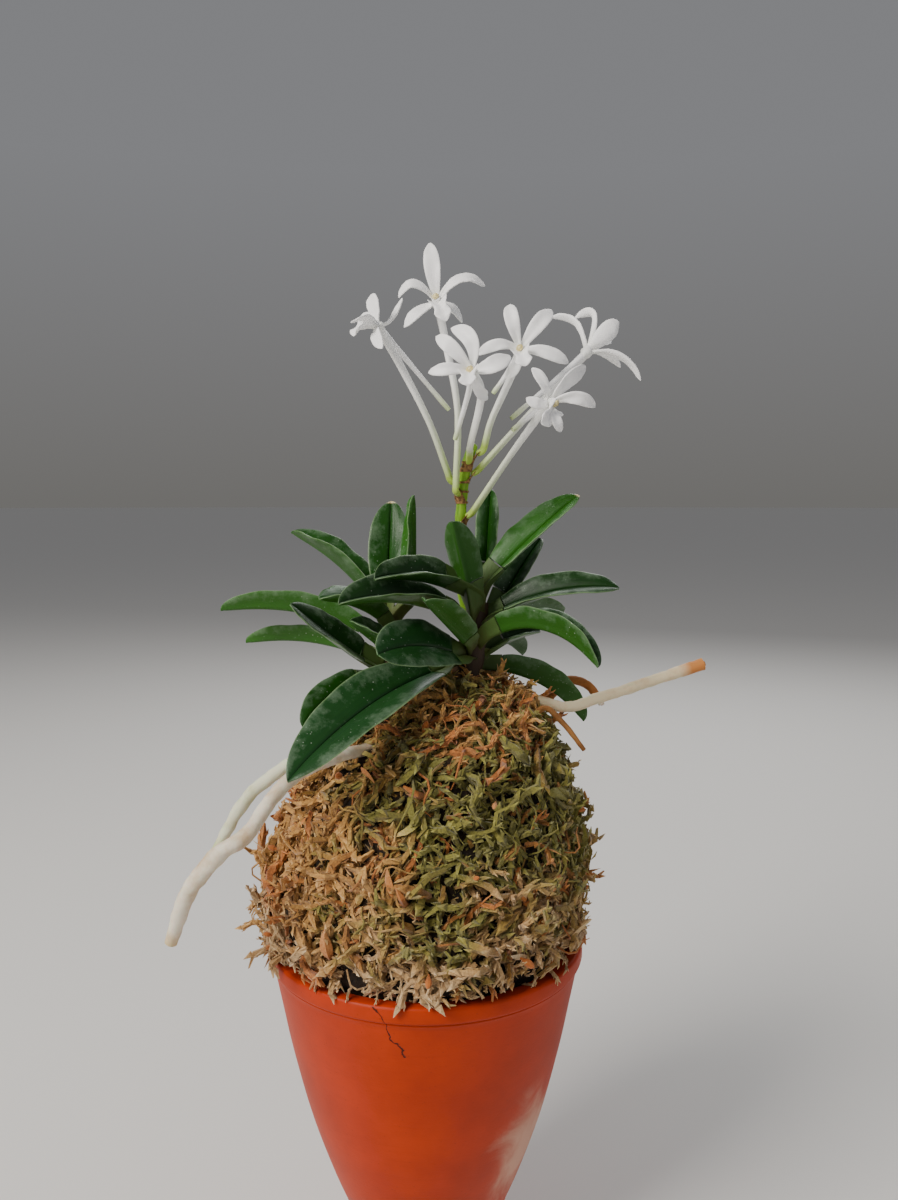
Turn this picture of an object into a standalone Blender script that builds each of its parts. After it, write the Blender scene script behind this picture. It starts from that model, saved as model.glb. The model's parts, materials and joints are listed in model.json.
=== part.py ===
"""A wind orchid in flower, growing on a mound of sphagnum in a terracotta pot.

The pot stands on z = 0 with its axis on Z. +X is the plant's right and -Y its front.
Places and lengths are written in millimetres and turned to metres by MM. A heading of
0 degrees points to +X, 90 to the back (+Y), 180 to the left and 270 to the front.
"""

import math
import random
from collections import namedtuple

import bmesh
import bpy
from mathutils import Vector
from mathutils import noise
from mathutils.bvhtree import BVHTree

MM = 0.001
SEED = 23
GAP = 0.35

# Pot
POT_HEIGHT = 98.0
RIM_RADIUS = 42.0
POT_OUTLINE = ((0, 16.5), (10, 17.9), (22, 21.2), (36, 26.6), (52, 31.9), (70, 36.4),
               (84, 39.2), (92.6, 40.9), (98, 42.0))
WALL = 4.0
FLOOR = 5.0
RIM_BAND = 4.2
GROOVE = 0.6
POT_SIDES = 32
WALL_LEVELS = (10.0, 22.0, 36.0, 52.0, 70.0, 84.0, 92.6)
PLUG_LEVELS = (10.0, 22.0, 36.0, 70.0, 92.6)
DRAIN_RADIUS = 1.9
DRAIN_CIRCLE = 7.0
DRAIN_COUNT = 3

# Moss: height, radius and sideways shift of each ring of the open mound
MOUND_SIDES = 42
MOUND_RINGS = (
    (98.5, 41.4, 0.0),
    (102.0, 43.2, -0.5),
    (109.0, 44.0, -1.0),
    (119.0, 43.2, 0.0),
    (130.0, 40.6, 1.5),
    (142.0, 36.0, 2.5),
    (153.0, 30.0, 4.0),
    (161.0, 20.0, 7.0),
    (166.0, 10.5, 10.0),
)
MOUND_TOP = (11.0, 0.0, 169.0)
MOUND_LUMPS = 2.0
MOUND_RELIEF = (1.5, 4.5)
MOUND_PITS = 1.5
PLUG_GAP = 0.5
STRAND_COUNT = 42
STRAND_LENGTH = (9.0, 16.0)
STRAND_RADIUS = (1.0, 1.5)
TUFT_COUNT = 70
TUFT_LENGTH = (7.0, 11.0)
TUFT_RADII = (1.9, 0.6)

# Leaves: the blade leaves its sheath START along a midrib that begins at a place,
# rises at an angle and droops by another along its length. Folds are each half's
# angle above flat at the base and at the tip, and roll turns the blade on its midrib.
LEAF_THICKNESS = 1.1
LEAF_WIDEST = 0.45
LEAF_BASE_WIDTH = 0.55
LEAF_CELLS = (5, 4)
Leaf = namedtuple("Leaf", "name at heading rise droop length width roll fold start")
LEAVES = (
    Leaf("leaf_left_top", (11, -4, 190), 221, 27, 32, 31, 12.5, -28, (50, 38), 9),
    Leaf("leaf_left_second", (7, -7, 185.5), 221, 23, 30, 36, 13, -25, (50, 38), 3),
    Leaf("leaf_front_small", (11, -10, 178), 242, 31, 0, 26, 11.5, 0, (45, 30), 3),
    Leaf("leaf_front_oval", (8, -10, 175), 233, 27, 38, 31, 13.5, -28, (28, 12), 3),
    Leaf("leaf_left_low", (4, -9, 171), 228, -4, 32, 54, 17, -22, (30, 12), 4),
    Leaf("leaf_upright_front", (12, -6, 187), 234, 71, 5, 24, 12, 25, (50, 40), 7),
    Leaf("leaf_upright_back", (16, 8, 193), 79, 73, 5, 26, 9, 0, (50, 40), 5),
    Leaf("leaf_right_top", (17, 1, 193), 7, 49, 10, 33, 13, 28, (40, 18), 5),
    Leaf("leaf_right_behind", (18, 3, 183), 47, 51, 10, 29, 10, 20, (50, 30), 8),
    Leaf("leaf_right_level", (18, 0, 184), 349, 33, 38, 34, 11, 33, (45, 15), 4),
    Leaf("leaf_right_arched", (17, -6, 180), 321, 31, 80, 35, 11, -12, (60, 50), 4),
    Leaf("leaf_right_back", (18, 8, 182), 38, 21, 40, 27, 11, 0, (50, 25), 5),
    Leaf("leaf_right_low", (16, 2, 174), 22, 33, 30, 17, 9, 25, (50, 30), 6),
    Leaf("leaf_right_droop", (15, 5, 170), 21, -4, 50, 37, 11, -15, (55, 45), 5),
    Leaf("leaf_back", (13, 9, 175), 59, 13, 50, 31, 10, 0, (50, 25), 4),
    Leaf("shoot_leaf_upright_broad", (-10.5, 5, 187), 86, 70, 0, 29, 12, 0, (40, 12), 3),
    Leaf("shoot_leaf_upright_edge", (-3.5, -2, 188), 81, 83, -6, 28, 7, -60, (50, 40), 3),
    Leaf("shoot_leaf_left_top", (-12, 9, 184), 163, 55, 32, 35, 12, -5, (55, 40), 6),
    Leaf("shoot_leaf_left_long", (-14, 3, 178.5), 181, 30, 40, 42, 11, 10, (60, 50), 4),
    Leaf("shoot_leaf_left_back", (-15, 6, 172.5), 167, 22, 35, 37, 9, 15, (60, 50), 4),
    Leaf("shoot_leaf_left_front", (-13, -4, 171), 207, 33, -10, 29, 12, -35, (35, 15), 6),
    Leaf("shoot_leaf_left_short", (-11, -5, 184), 222, 36, 35, 21, 11, -10, (45, 25), 2),
    Leaf("shoot_leaf_shaded", (-6, -10, 174), 211, 38, 0, 18, 11, -20, (40, 25), 4),
    Leaf("shoot_leaf_left_droop", (-13, -4, 167), 236, 15, 55, 30, 9.5, -25, (35, 15), 7),
)

# Crowns: the two short stems that the leaf bases wrap
SHEATH_DROP = 9.0
SHEATH_LOWEST = {"crown_main": 172.5, "crown_left": 167.5}
SHEATH_RADIUS = (2.0, 2.2)
MAIN_STEM = ((9.5, -1, 152), (10.5, -1, 166), (12.5, -0.5, 178), (14, 0.5, 188))
MAIN_STEM_RADIUS = (3.6, 4.2, 3.6, 2.6)
LEFT_STEM = ((-8, 0, 148), (-9.5, 0, 162), (-10.5, 0.5, 172), (-9.5, 1, 182))
LEFT_STEM_RADIUS = (3.2, 3.8, 3.4, 2.4)

# Roots: each route starts inside the moss
Root = namedtuple("Root", "name route radii")
ROOTS = (
    Root(
        "root_left_long",
        ((-13, -17, 153), (-22, -27, 153), (-32, -35, 149), (-39.5, -42, 139.5),
         (-46, -44, 135), (-53, -43, 126), (-58, -40, 113)),
        (1.6, 1.6, 1.6, 1.8, 1.95, 1.95, 1.5),
    ),
    Root(
        "root_left_short",
        ((-16, -12, 146), (-27, -18, 152), (-38.4, -20, 146.2), (-45.5, -20, 139),
         (-52.5, -20, 126.6)),
        (1.5, 1.5, 1.6, 1.6, 1.2),
    ),
    Root(
        "root_right_long",
        ((14, 3, 158), (28, 5, 160.8), (38, 6, 158.6), (48, 8, 161), (62, 9, 165.4),
         (75.9, 10, 169.8)),
        (1.4, 1.4, 1.45, 1.5, 1.5, 1.7),
    ),
    Root(
        "root_right_arched",
        ((24, 17, 146), (34, 21, 157), (40, 22, 163), (46, 22, 161.6), (50, 21, 156.5)),
        (1.2, 1.2, 1.3, 1.2, 1.1),
    ),
    Root(
        "root_right_thin",
        ((24, -4, 152), (30.5, -5, 160.5), (36, -5, 156.5), (41.5, -5, 149.5)),
        (0.8, 0.8, 0.75, 0.6),
    ),
)

# Flower stalk
STALK = ((11, 1.6, 184), (9, 1.6, 195), (9.2, 0.8, 209.5), (10, 0, 219.8),
         (11.5, 0, 226.3), (12.6, 0, 228.4))
STALK_RADIUS = (1.4, 1.4, 1.35, 1.25, 1.15, 1.0)
BRACT_LENGTH = 3.4
BRACT_RADII = (0.75, 0.4)

# Flowers: the centre, the way the face looks, each tepal's middle and tip, the lip's
# tip, the spur's middle and tip, and the pedicel's middle and seat height and heading.
TEPAL_THICKNESS = 0.8
TEPAL_CELLS = (4, 2)
HUB_RADIUS = 1.9
SEAT_REACH = 2.1
PEDICEL_RADII = (1.2, 0.95, 0.85, 0.9, 0.9, 0.8)
Tepal = namedtuple("Tepal", "middle tip width")
Flower = namedtuple("Flower", "name centre facing tepals lip spur pedicel seat")
FLOWERS = (
    Flower(
        "flower_1", (-11.5, -8, 257.4), (-0.7, -0.45, 0.55),
        (Tepal((-12.6, -6.5, 262.6), (-13.8, -4, 265.7), 4.6),
         Tepal((-8.2, -3, 260.4), (-5.9, 0, 266), 3.2),
         Tepal((-14.4, -4, 260.2), (-16.7, 0, 261), 3.6),
         Tepal((-14.2, -12, 258.6), (-17.6, -15, 257.2), 3.6),
         Tepal((-11.6, -13, 254.4), (-9.8, -17, 250.8), 3.8)),
        (-17.4, -11.5, 254.6), ((-6.2, -4.4, 251.7), (6.1, -2, 237.6)),
        ((-5.9, -8, 247.6), (1, -5, 234.3)), (219, 182),
    ),
    Flower(
        "flower_2", (3.1, -4, 264), (-0.15, -0.8, 0.55),
        (Tepal((2, -4.5, 272), (1.3, -2, 279.1), 4.8),
         Tepal((-2.6, -7, 267.9), (-6.4, -5, 265), 3.4),
         Tepal((9, -6, 269.4), (15.1, -3.5, 268.1), 3.8),
         Tepal((-1.4, -8, 261), (-5.1, -7, 257.4), 4.2),
         Tepal((7, -4, 262.4), (9.5, -0.5, 259.8), 3.4)),
        (5.4, -10, 258.4), ((4.6, 1.5, 258), (6.8, 5, 248)),
        ((5.3, -4.6, 253.6), (8.2, -5, 237.3)), (216.2, 240),
    ),
    Flower(
        "flower_3", (11.6, -20, 245.1), (-0.25, -0.9, 0.1),
        (Tepal((7, -22, 250), (3, -19.5, 253.3), 4.2),
         Tepal((11.2, -21, 252.2), (6.6, -17, 255.4), 4.6),
         Tepal((6.4, -23, 245.2), (1.2, -21, 244.6), 3.6),
         Tepal((16.4, -22.5, 246.2), (20.6, -20, 248.6), 5.0),
         Tepal((13.4, -18.5, 240.8), (15.5, -15, 239.4), 3.4)),
        (10.5, -26, 241), ((10.8, -14.5, 240.4), (7.6, -11, 229.5)),
        ((14, -15, 240), (11.6, -9, 229)), (224.4, 275),
    ),
    Flower(
        "flower_4", (23.6, -10, 251.5), (-0.1, -0.95, 0.1),
        (Tepal((21.6, -12, 258), (20.9, -9.5, 262.5), 4.2),
         Tepal((27.8, -12, 257.2), (31.5, -9, 261.3), 4.6),
         Tepal((18.2, -12.5, 252.4), (13, -10.5, 250.2), 3.4),
         Tepal((29.8, -12.5, 250.6), (35.5, -11, 248.1), 3.8),
         Tepal((22.4, -10, 247.2), (20.2, -6, 245.4), 3.4)),
        (24.6, -16, 246.8), ((21.4, -4.6, 247.4), (17.4, -2, 241.8)),
        ((21.8, -8, 245.9), (17, -4, 235.2)), (226.6, 350),
    ),
    Flower(
        "flower_5", (40.8, -5, 251.7), (0.6, 0.5, 0.6),
        (Tepal((45.6, -4.4, 256.4), (49.1, -3, 259.5), 5.6),
         Tepal((43, -0.5, 261.4), (38.6, 2, 261.3), 3.2),
         Tepal((38.2, -0.5, 259.8), (32.4, 1.5, 261.3), 2.8),
         Tepal((49.3, -4.5, 250.6), (54.7, -4, 244.8), 3.0),
         Tepal((46.4, 0.5, 251.6), (50.6, 2.5, 248.8), 3.4)),
        (47, 3, 256), ((33, -8.4, 244.6), (21.4, -12.4, 234.6)),
        ((35, -4, 245.4), (23.9, -2.8, 233.6)), (221.4, 5),
    ),
    Flower(
        "flower_6", (30.7, -15, 238.4), (0.5, -0.8, -0.25),
        (Tepal((28.6, -17.4, 243), (26.1, -16, 246.3), 3.4),
         Tepal((35.2, -16, 243.6), (39.7, -12.5, 246.9), 4.6),
         Tepal((36.8, -17, 239.2), (41.8, -14.5, 237.2), 3.8),
         Tepal((31.4, -19, 234.4), (33.2, -18, 231), 3.4),
         Tepal((27.6, -18.4, 237.6), (24.6, -18.6, 239), 3.2)),
        (28, -21.5, 232.6), ((27.6, -11.6, 236.4), (21.6, -15.6, 231.6)),
        ((27.6, -11, 234.4), (21.2, -7, 225.4)), (210.4, 325),
    ),
)

PARTS_NAME = "wind_orchid"
CUTTERS_NAME = "wind_orchid_cutters"


def clear_scene():
    """Remove every object from the scene."""
    for old in list(bpy.data.objects):
        bpy.data.objects.remove(old, do_unlink=True)


def make_collection(name):
    """Return a new collection linked to the scene."""
    collection = bpy.data.collections.new(name)
    bpy.context.scene.collection.children.link(collection)
    return collection


def make_material(name, colour, roughness):
    """Return a plain Principled material."""
    material = bpy.data.materials.new(name)
    material.use_nodes = True
    shader = material.node_tree.nodes["Principled BSDF"]
    shader.inputs["Base Color"].default_value = (*colour, 1.0)
    shader.inputs["Roughness"].default_value = roughness
    shader.inputs["Metallic"].default_value = 0.0
    material.diffuse_color = (*colour, 1.0)
    return material


def add_object(name, mesh, collection, material=None):
    """Link a mesh to a collection as a smooth-shaded object."""
    if material:
        mesh.materials.clear()
        mesh.materials.append(material)
    mesh.shade_smooth()
    mesh.set_sharp_from_angle(angle=math.radians(45))
    body = bpy.data.objects.new(name, mesh)
    collection.objects.link(body)
    return body


def evaluated_mesh(body):
    """Return a new mesh of an object with its modifiers applied."""
    bpy.context.view_layer.update()
    graph = bpy.context.evaluated_depsgraph_get()
    return bpy.data.meshes.new_from_object(body.evaluated_get(graph))


def smooth_route(points, steps):
    """Return a smooth line through a route's points, with steps between each pair."""
    ends = [points[0] * 2 - points[1], *points, points[-1] * 2 - points[-2]]
    line = []
    for before, start, end, after in zip(ends, ends[1:], ends[2:], ends[3:]):
        for step in range(steps):
            t = step / steps
            line.append(0.5 * (2 * start + (end - before) * t
                               + (2 * before - 5 * start + 4 * end - after) * t ** 2
                               + (3 * start - before - 3 * end + after) * t ** 3))
    line.append(points[-1])
    return line


def spread(values, steps):
    """Return values with even steps filled in between each pair."""
    filled = [a + (b - a) * step / steps
              for a, b in zip(values, values[1:]) for step in range(steps)]
    return [*filled, values[-1]]


def tube_mesh(route, radii, sides, steps=1):
    """Return a closed tube along a route in millimetres, made from a bevelled curve."""
    curve = bpy.data.curves.new("tube", "CURVE")
    curve.dimensions = "3D"
    curve.bevel_depth = MM
    curve.bevel_resolution = (sides - 4) // 2
    curve.use_fill_caps = True
    line = smooth_route([Vector(point) * MM for point in route], steps)
    spline = curve.splines.new("POLY")
    spline.points.add(len(line) - 1)
    for point, place, radius in zip(spline.points, line, spread(radii, steps)):
        point.co = (*place, 1.0)
        point.radius = radius
    guide = bpy.data.objects.new("tube_guide", curve)
    bpy.context.scene.collection.objects.link(guide)
    mesh = evaluated_mesh(guide)
    bpy.data.objects.remove(guide, do_unlink=True)
    shell = bmesh.new()
    shell.from_mesh(mesh)
    bmesh.ops.remove_doubles(shell, verts=shell.verts, dist=0.001 * MM)
    bmesh.ops.recalc_face_normals(shell, faces=shell.faces)
    shell.to_mesh(mesh)
    shell.free()
    return mesh


def blade_width(u, base):
    """Return a blade's share of its full width at u along it."""
    if u < LEAF_WIDEST:
        return base + (1.0 - base) * math.sin(math.pi / 2 * u / LEAF_WIDEST)
    return max(0.12, 1.0 - ((u - LEAF_WIDEST) / (1.0 - LEAF_WIDEST)) ** 2.6) ** 0.5


def sheet_mesh(cells, place):
    """Return an open sheet whose points are placed by place(u, v), u 0..1 and v -1..1."""
    sheet = bmesh.new()
    bmesh.ops.create_grid(sheet, x_segments=cells[0], y_segments=cells[1], size=1.0)
    bmesh.ops.triangulate(sheet, faces=sheet.faces)
    for vert in sheet.verts:
        vert.co = place((vert.co.x + 1.0) / 2, vert.co.y) * MM
    mesh = bpy.data.meshes.new("sheet")
    sheet.to_mesh(mesh)
    sheet.free()
    return mesh


def thicken(body, thickness):
    """Give an open sheet its thickness, evenly on both sides."""
    shell = body.modifiers.new("thickness", "SOLIDIFY")
    shell.thickness = thickness * MM
    shell.offset = 0.0
    return body


def direction(heading, pitch):
    """Return the unit direction of a heading and a pitch in degrees."""
    a = math.radians(heading)
    p = math.radians(pitch)
    return Vector((math.cos(a) * math.cos(p), math.sin(a) * math.cos(p), math.sin(p)))


def midrib_point(leaf, u):
    """Return the point u along a leaf's midrib, in millimetres."""
    steps = 24
    point = Vector(leaf.at)
    for step in range(steps):
        middle = u * (step + 0.5) / steps
        point += direction(leaf.heading, leaf.rise - leaf.droop * middle) * (
            leaf.length * u / steps)
    return point


def leaf_point(leaf, u, v):
    """Return a point of a leaf's blade, u along its midrib and v across it."""
    along = direction(leaf.heading, leaf.rise - leaf.droop * u)
    level = direction(leaf.heading + 90, 0)
    above = along.cross(level)
    roll = math.radians(leaf.roll)
    side = math.cos(roll) * level + math.sin(roll) * above
    up = math.cos(roll) * above - math.sin(roll) * level
    fold = math.radians(leaf.fold[0] * (1 - u) + leaf.fold[1] * u)
    reach = blade_width(u, LEAF_BASE_WIDTH) * leaf.width / 2
    out = side * v * math.cos(fold) + up * abs(v) * math.sin(fold)
    return midrib_point(leaf, u) + out * reach


def make_leaf(leaf, collection, material):
    """Make one blade, from where it leaves its sheath to its tip."""
    first = leaf.start / leaf.length
    mesh = sheet_mesh(LEAF_CELLS, lambda u, v: leaf_point(leaf, first + (1 - first) * u, v))
    return thicken(add_object(leaf.name, mesh, collection, material), LEAF_THICKNESS)


def fuse(body, pieces, solver="MANIFOLD"):
    """Join pieces to a body with one Boolean union and remove them."""
    group = make_collection(body.name + "_pieces")
    for piece in pieces:
        for owner in list(piece.users_collection):
            owner.objects.unlink(piece)
        group.objects.link(piece)
    union = body.modifiers.new("fuse", "BOOLEAN")
    union.operation = "UNION"
    union.operand_type = "COLLECTION"
    union.collection = group
    union.solver = solver
    apply_modifiers(body)
    for piece in pieces:
        bpy.data.objects.remove(piece, do_unlink=True)
    bpy.data.collections.remove(group)


def apply_modifiers(body):
    """Replace an object's mesh by its evaluated one, kept to its largest shell."""
    mesh = evaluated_mesh(body)
    body.modifiers.clear()
    body.data = mesh
    shell = bmesh.new()
    shell.from_mesh(mesh)
    bmesh.ops.remove_doubles(shell, verts=shell.verts, dist=0.002 * MM)
    keep_largest_shell(shell)
    shell.to_mesh(mesh)
    shell.free()
    mesh.shade_smooth()
    mesh.set_sharp_from_angle(angle=math.radians(45))


def keep_largest_shell(shell):
    """Delete every loose scrap and sealed hollow of a mesh."""
    unseen = set(shell.faces)
    shells = []
    while unseen:
        queue = [unseen.pop()]
        found = list(queue)
        while queue:
            for edge in queue.pop().edges:
                for face in edge.link_faces:
                    if face in unseen:
                        unseen.remove(face)
                        queue.append(face)
                        found.append(face)
        shells.append(found)
    shells.sort(key=len)
    for scrap in shells[:-1]:
        bmesh.ops.delete(shell, geom=scrap, context="FACES")


def cut(body, cutters, solver="MANIFOLD"):
    """Cut a list of cutters out of a body, one after the other."""
    for number, cutter in enumerate(cutters):
        hole = body.modifiers.new(f"hole_{number}", "BOOLEAN")
        hole.operation = "DIFFERENCE"
        hole.object = cutter
        hole.solver = solver
    apply_modifiers(body)


def make_cutter(name, mesh, collection):
    """Add a guide shape that the build leaves out."""
    cutter = add_object(name, mesh, collection)
    cutter.hide_render = True
    cutter.display_type = "WIRE"
    return cutter


def make_room(name, route, radii, steps, collection):
    """Make the cutter of the plain hole that a tube stands in, wider by the gap all round."""
    line = smooth_route([Vector(point) for point in route], steps)
    line[0] = line[0] + (line[0] - line[1]).normalized() * GAP
    wider = [radius + GAP for radius in spread(radii, steps)]
    return make_cutter(name, tube_mesh(line, wider, 8), collection)


def pot_radius(height):
    """Return the pot's outer radius at a height."""
    for (low, narrow), (high, wide) in zip(POT_OUTLINE, POT_OUTLINE[1:]):
        if height <= high:
            return narrow + (wide - narrow) * (height - low) / (high - low)
    return RIM_RADIUS


def make_pot(collection, cutters, material):
    """Make the turned pot with its rim band, groove, floor and drain holes."""
    lip = 1.0
    band_foot = POT_HEIGHT - RIM_BAND
    outer = [(RIM_RADIUS - lip, POT_HEIGHT), (RIM_RADIUS, POT_HEIGHT - lip),
             (RIM_RADIUS, band_foot), (RIM_RADIUS - GROOVE, band_foot - GROOVE),
             (pot_radius(WALL_LEVELS[-1]), WALL_LEVELS[-1])]
    outer += [(pot_radius(height), height) for height in reversed(WALL_LEVELS[:-1])]
    outer += [(pot_radius(lip), lip), (pot_radius(0.0) - lip, 0.0), (0.0, 0.0)]
    inner = [(0.0, FLOOR), (pot_radius(FLOOR) - WALL, FLOOR)]
    inner += [(pot_radius(height) - WALL, height) for height in WALL_LEVELS]
    inner += [(RIM_RADIUS - WALL, POT_HEIGHT - lip), (RIM_RADIUS - WALL + lip, POT_HEIGHT)]
    profile = outer + inner
    mesh = bpy.data.meshes.new("pot")
    points = [(radius * MM, 0.0, height * MM) for radius, height in profile]
    count = len(points)
    edges = [(i, (i + 1) % count) for i in range(count) if i != len(outer) - 1]
    mesh.from_pydata(points, edges, [])
    pot = add_object("pot", mesh, collection, material)
    turn = pot.modifiers.new("turn", "SCREW")
    turn.steps = POT_SIDES
    turn.render_steps = POT_SIDES
    turn.use_merge_vertices = True
    turn.merge_threshold = 0.00001
    holes = []
    for number in range(DRAIN_COUNT):
        angle = math.tau * number / DRAIN_COUNT
        drill = bmesh.new()
        bmesh.ops.create_cone(drill, cap_ends=True, segments=12, radius1=DRAIN_RADIUS * MM,
                              radius2=DRAIN_RADIUS * MM, depth=3 * FLOOR * MM)
        shape = bpy.data.meshes.new("drain_hole")
        drill.to_mesh(shape)
        drill.free()
        hole = make_cutter(f"drain_hole_{number}", shape, cutters)
        hole.location = (DRAIN_CIRCLE * MM * math.cos(angle), DRAIN_CIRCLE * MM * math.sin(angle), 0)
        holes.append(hole)
    cut(pot, holes, "EXACT")
    return pot


def mound_rings():
    """Return every ring of the moss: the plug in the pot, then the open mound."""
    plug = [(height, pot_radius(height) - WALL - PLUG_GAP, 0.0) for height in PLUG_LEVELS]
    neck = (POT_HEIGHT + 0.5, RIM_RADIUS - WALL - PLUG_GAP, 0.0)
    heights, radii, shifts = (spread(column, 2) for column in zip(*MOUND_RINGS))
    return [*plug, neck, *zip(heights, radii, shifts)]


def make_mound(rule, walls, collection, material):
    """Make the moss's core: a sphere set to the mound's rings, with every second point
    of the open mound pulled out into a tuft wherever the plant leaves room for it."""
    rings = mound_rings()
    bands = len(rings) + 1
    shell = bmesh.new()
    bmesh.ops.create_uvsphere(shell, u_segments=MOUND_SIDES, v_segments=bands, radius=1.0)
    for vert in shell.verts:
        level = round((math.asin(max(-1.0, min(1.0, vert.co.z))) / math.pi + 0.5) * bands)
        if level == 0:
            vert.co = Vector((0, 0, rings[0][0])) * MM
        elif level == bands:
            vert.co = Vector(MOUND_TOP) * MM
        else:
            height, radius, shift = rings[level - 1]
            angle = math.atan2(vert.co.y, vert.co.x)
            around = Vector((math.cos(angle), math.sin(angle), 0))
            place = Vector((shift, 0, height)) + around * radius
            if height > MOUND_RINGS[0][0] + 1:
                place += around * MOUND_LUMPS * noise.noise(around * 2 + Vector((0, 0, height / 15)))
                column = round(angle / math.tau * MOUND_SIDES)
                place = tufted(place, around, (column + level) % 2 == 1, rule, walls)
            vert.co = place * MM
    mesh = bpy.data.meshes.new("moss_mound")
    shell.to_mesh(mesh)
    shell.free()
    return add_object("moss_mound", mesh, collection, material)


def tufted(place, around, is_tip, rule, walls):
    """Return a point of the open mound, pulled out as a tuft's tip or pushed in between."""
    outward = (around + Vector((0, 0, 0.4))).normalized()
    if not is_tip:
        return place - outward * rule.uniform(0, MOUND_PITS)
    sideways = Vector((-around.y, around.x, 0)) * rule.uniform(-1.5, 1.5)
    tip = place + outward * rule.uniform(*MOUND_RELIEF) + sideways
    return tip if wall_distance(tip, walls) > 1.5 + GAP else place


def mound_surface(climb, angle):
    """Return the mound's surface point and outward direction, climb 0 at the rim to 1."""
    reach = climb * (len(MOUND_RINGS) - 1)
    lower = min(int(reach), len(MOUND_RINGS) - 2)
    share = reach - lower
    height, radius, shift = (a + (b - a) * share
                             for a, b in zip(MOUND_RINGS[lower], MOUND_RINGS[lower + 1]))
    low_height, low_radius, _ = MOUND_RINGS[lower]
    high_height, high_radius, _ = MOUND_RINGS[lower + 1]
    slope = math.atan2(low_radius - high_radius, high_height - low_height)
    round_trip = Vector((math.cos(angle), math.sin(angle), 0))
    point = Vector((shift, 0, height)) + round_trip * radius
    outward = round_trip * math.cos(slope) + Vector((0, 0, math.sin(slope)))
    return point, outward


def surface_walls(neighbours):
    """Return the surfaces that the moss's strands keep clear of."""
    walls = []
    for neighbour in neighbours:
        mesh = evaluated_mesh(neighbour)
        walls.append(BVHTree.FromPolygons([v.co for v in mesh.vertices],
                                          [tuple(p.vertices) for p in mesh.polygons]))
    return walls


def wall_distance(spot, walls):
    """Return the distance in millimetres from a point to the nearest of the walls."""
    return min(wall.find_nearest(spot * MM)[3] for wall in walls) / MM


def is_clear(route, radius, walls):
    """Tell whether a strand along a route would leave a gap to every wall."""
    return all(wall_distance(spot, walls) > radius + GAP + 0.5 for spot in smooth_route(route, 3))


def make_strands(rule, walls, collection):
    """Return curled moss strands that start in the mound and keep clear of the plant."""
    strands = []
    while len(strands) < STRAND_COUNT:
        angle = rule.uniform(0, math.tau)
        point, outward = mound_surface(rule.random() ** 0.8, angle)
        length = rule.uniform(*STRAND_LENGTH)
        radius = rule.uniform(*STRAND_RADIUS)
        sideways = Vector((-math.sin(angle), math.cos(angle), 0))
        uphill = outward.cross(sideways)
        lean = rule.uniform(0, math.tau)
        along = sideways * math.cos(lean) - uphill * math.sin(lean)
        curl = rule.uniform(-0.5, 0.5)
        across = along.cross(outward)
        route = [point - outward * 3.0 - along * 1.0,
                 point + outward * 2.2 + along * length * 0.3,
                 point + outward * 3.2 + along * length * 0.65 + across * length * curl * 0.4,
                 point + outward * rule.uniform(1.5, 5.0) + along * length + across * length * curl]
        if is_clear(route, radius, walls):
            mesh = tube_mesh(route, (radius, radius * 1.1, radius, radius * 0.5), 4)
            strands.append(add_object(f"strand_{len(strands)}", mesh, collection))
    return strands


def make_tufts(rule, walls, collection):
    """Return short pointed moss tufts that stand slanting out of the mound all round."""
    tufts = []
    while len(tufts) < TUFT_COUNT:
        angle = rule.uniform(0, math.tau)
        point, outward = mound_surface(rule.random() ** 0.9, angle)
        length = rule.uniform(*TUFT_LENGTH)
        sideways = Vector((-math.sin(angle), math.cos(angle), 0))
        lean = rule.uniform(0, math.tau)
        tangent = sideways * math.cos(lean) + outward.cross(sideways) * math.sin(lean)
        along = (outward * rule.uniform(0.5, 0.9) + tangent).normalized()
        foot = point - outward * 1.5 - along * 1.0
        tip = foot + along * length
        if is_clear([foot, tip], TUFT_RADII[0], walls):
            spike = bmesh.new()
            bmesh.ops.create_cone(spike, cap_ends=True, segments=3, radius1=TUFT_RADII[0] * MM,
                                  radius2=TUFT_RADII[1] * MM, depth=length * MM)
            turn = along.to_track_quat("Z", "Y").to_matrix().to_4x4()
            bmesh.ops.transform(spike, matrix=turn, verts=spike.verts)
            bmesh.ops.translate(spike, verts=spike.verts, vec=foot.lerp(tip, 0.5) * MM)
            mesh = bpy.data.meshes.new("tuft")
            spike.to_mesh(mesh)
            spike.free()
            tufts.append(add_object(f"tuft_{len(tufts)}", mesh, collection))
    return tufts


def make_crown(name, stem, radii, leaves, collection, material):
    """Make a short stem with a sheath from it to the start of each leaf."""
    crown = add_object(name, tube_mesh(stem, radii, 8, 2), collection, material)
    sheaths = []
    for leaf in leaves:
        end = midrib_point(leaf, (leaf.start - GAP) / leaf.length)
        base = Vector(leaf.at)
        foot = stem_point(stem, max(base.z - SHEATH_DROP, SHEATH_LOWEST[name]))
        route = (foot, foot.lerp(base, 0.6) + Vector((0, 0, 0.5)), base, end)
        if leaf.start < 2.5:
            route = (foot, foot.lerp(base, 0.6) + Vector((0, 0, 0.5)), end)
        radii_here = [SHEATH_RADIUS[1]] * (len(route) - 1) + [SHEATH_RADIUS[0]]
        sheath = tube_mesh(route, radii_here, 6)
        sheaths.append(add_object(leaf.name + "_sheath", sheath, collection))
    fuse(crown, sheaths)
    return crown


def stem_point(stem, height):
    """Return the point of a stem's line at a height, kept between its ends."""
    line = smooth_route([Vector(point) for point in stem], 3)
    for low, high in zip(line, line[1:]):
        if low.z <= height <= high.z:
            return low.lerp(high, (height - low.z) / (high.z - low.z))
    return line[0].copy() if height < line[0].z else line[-1].copy()


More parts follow.
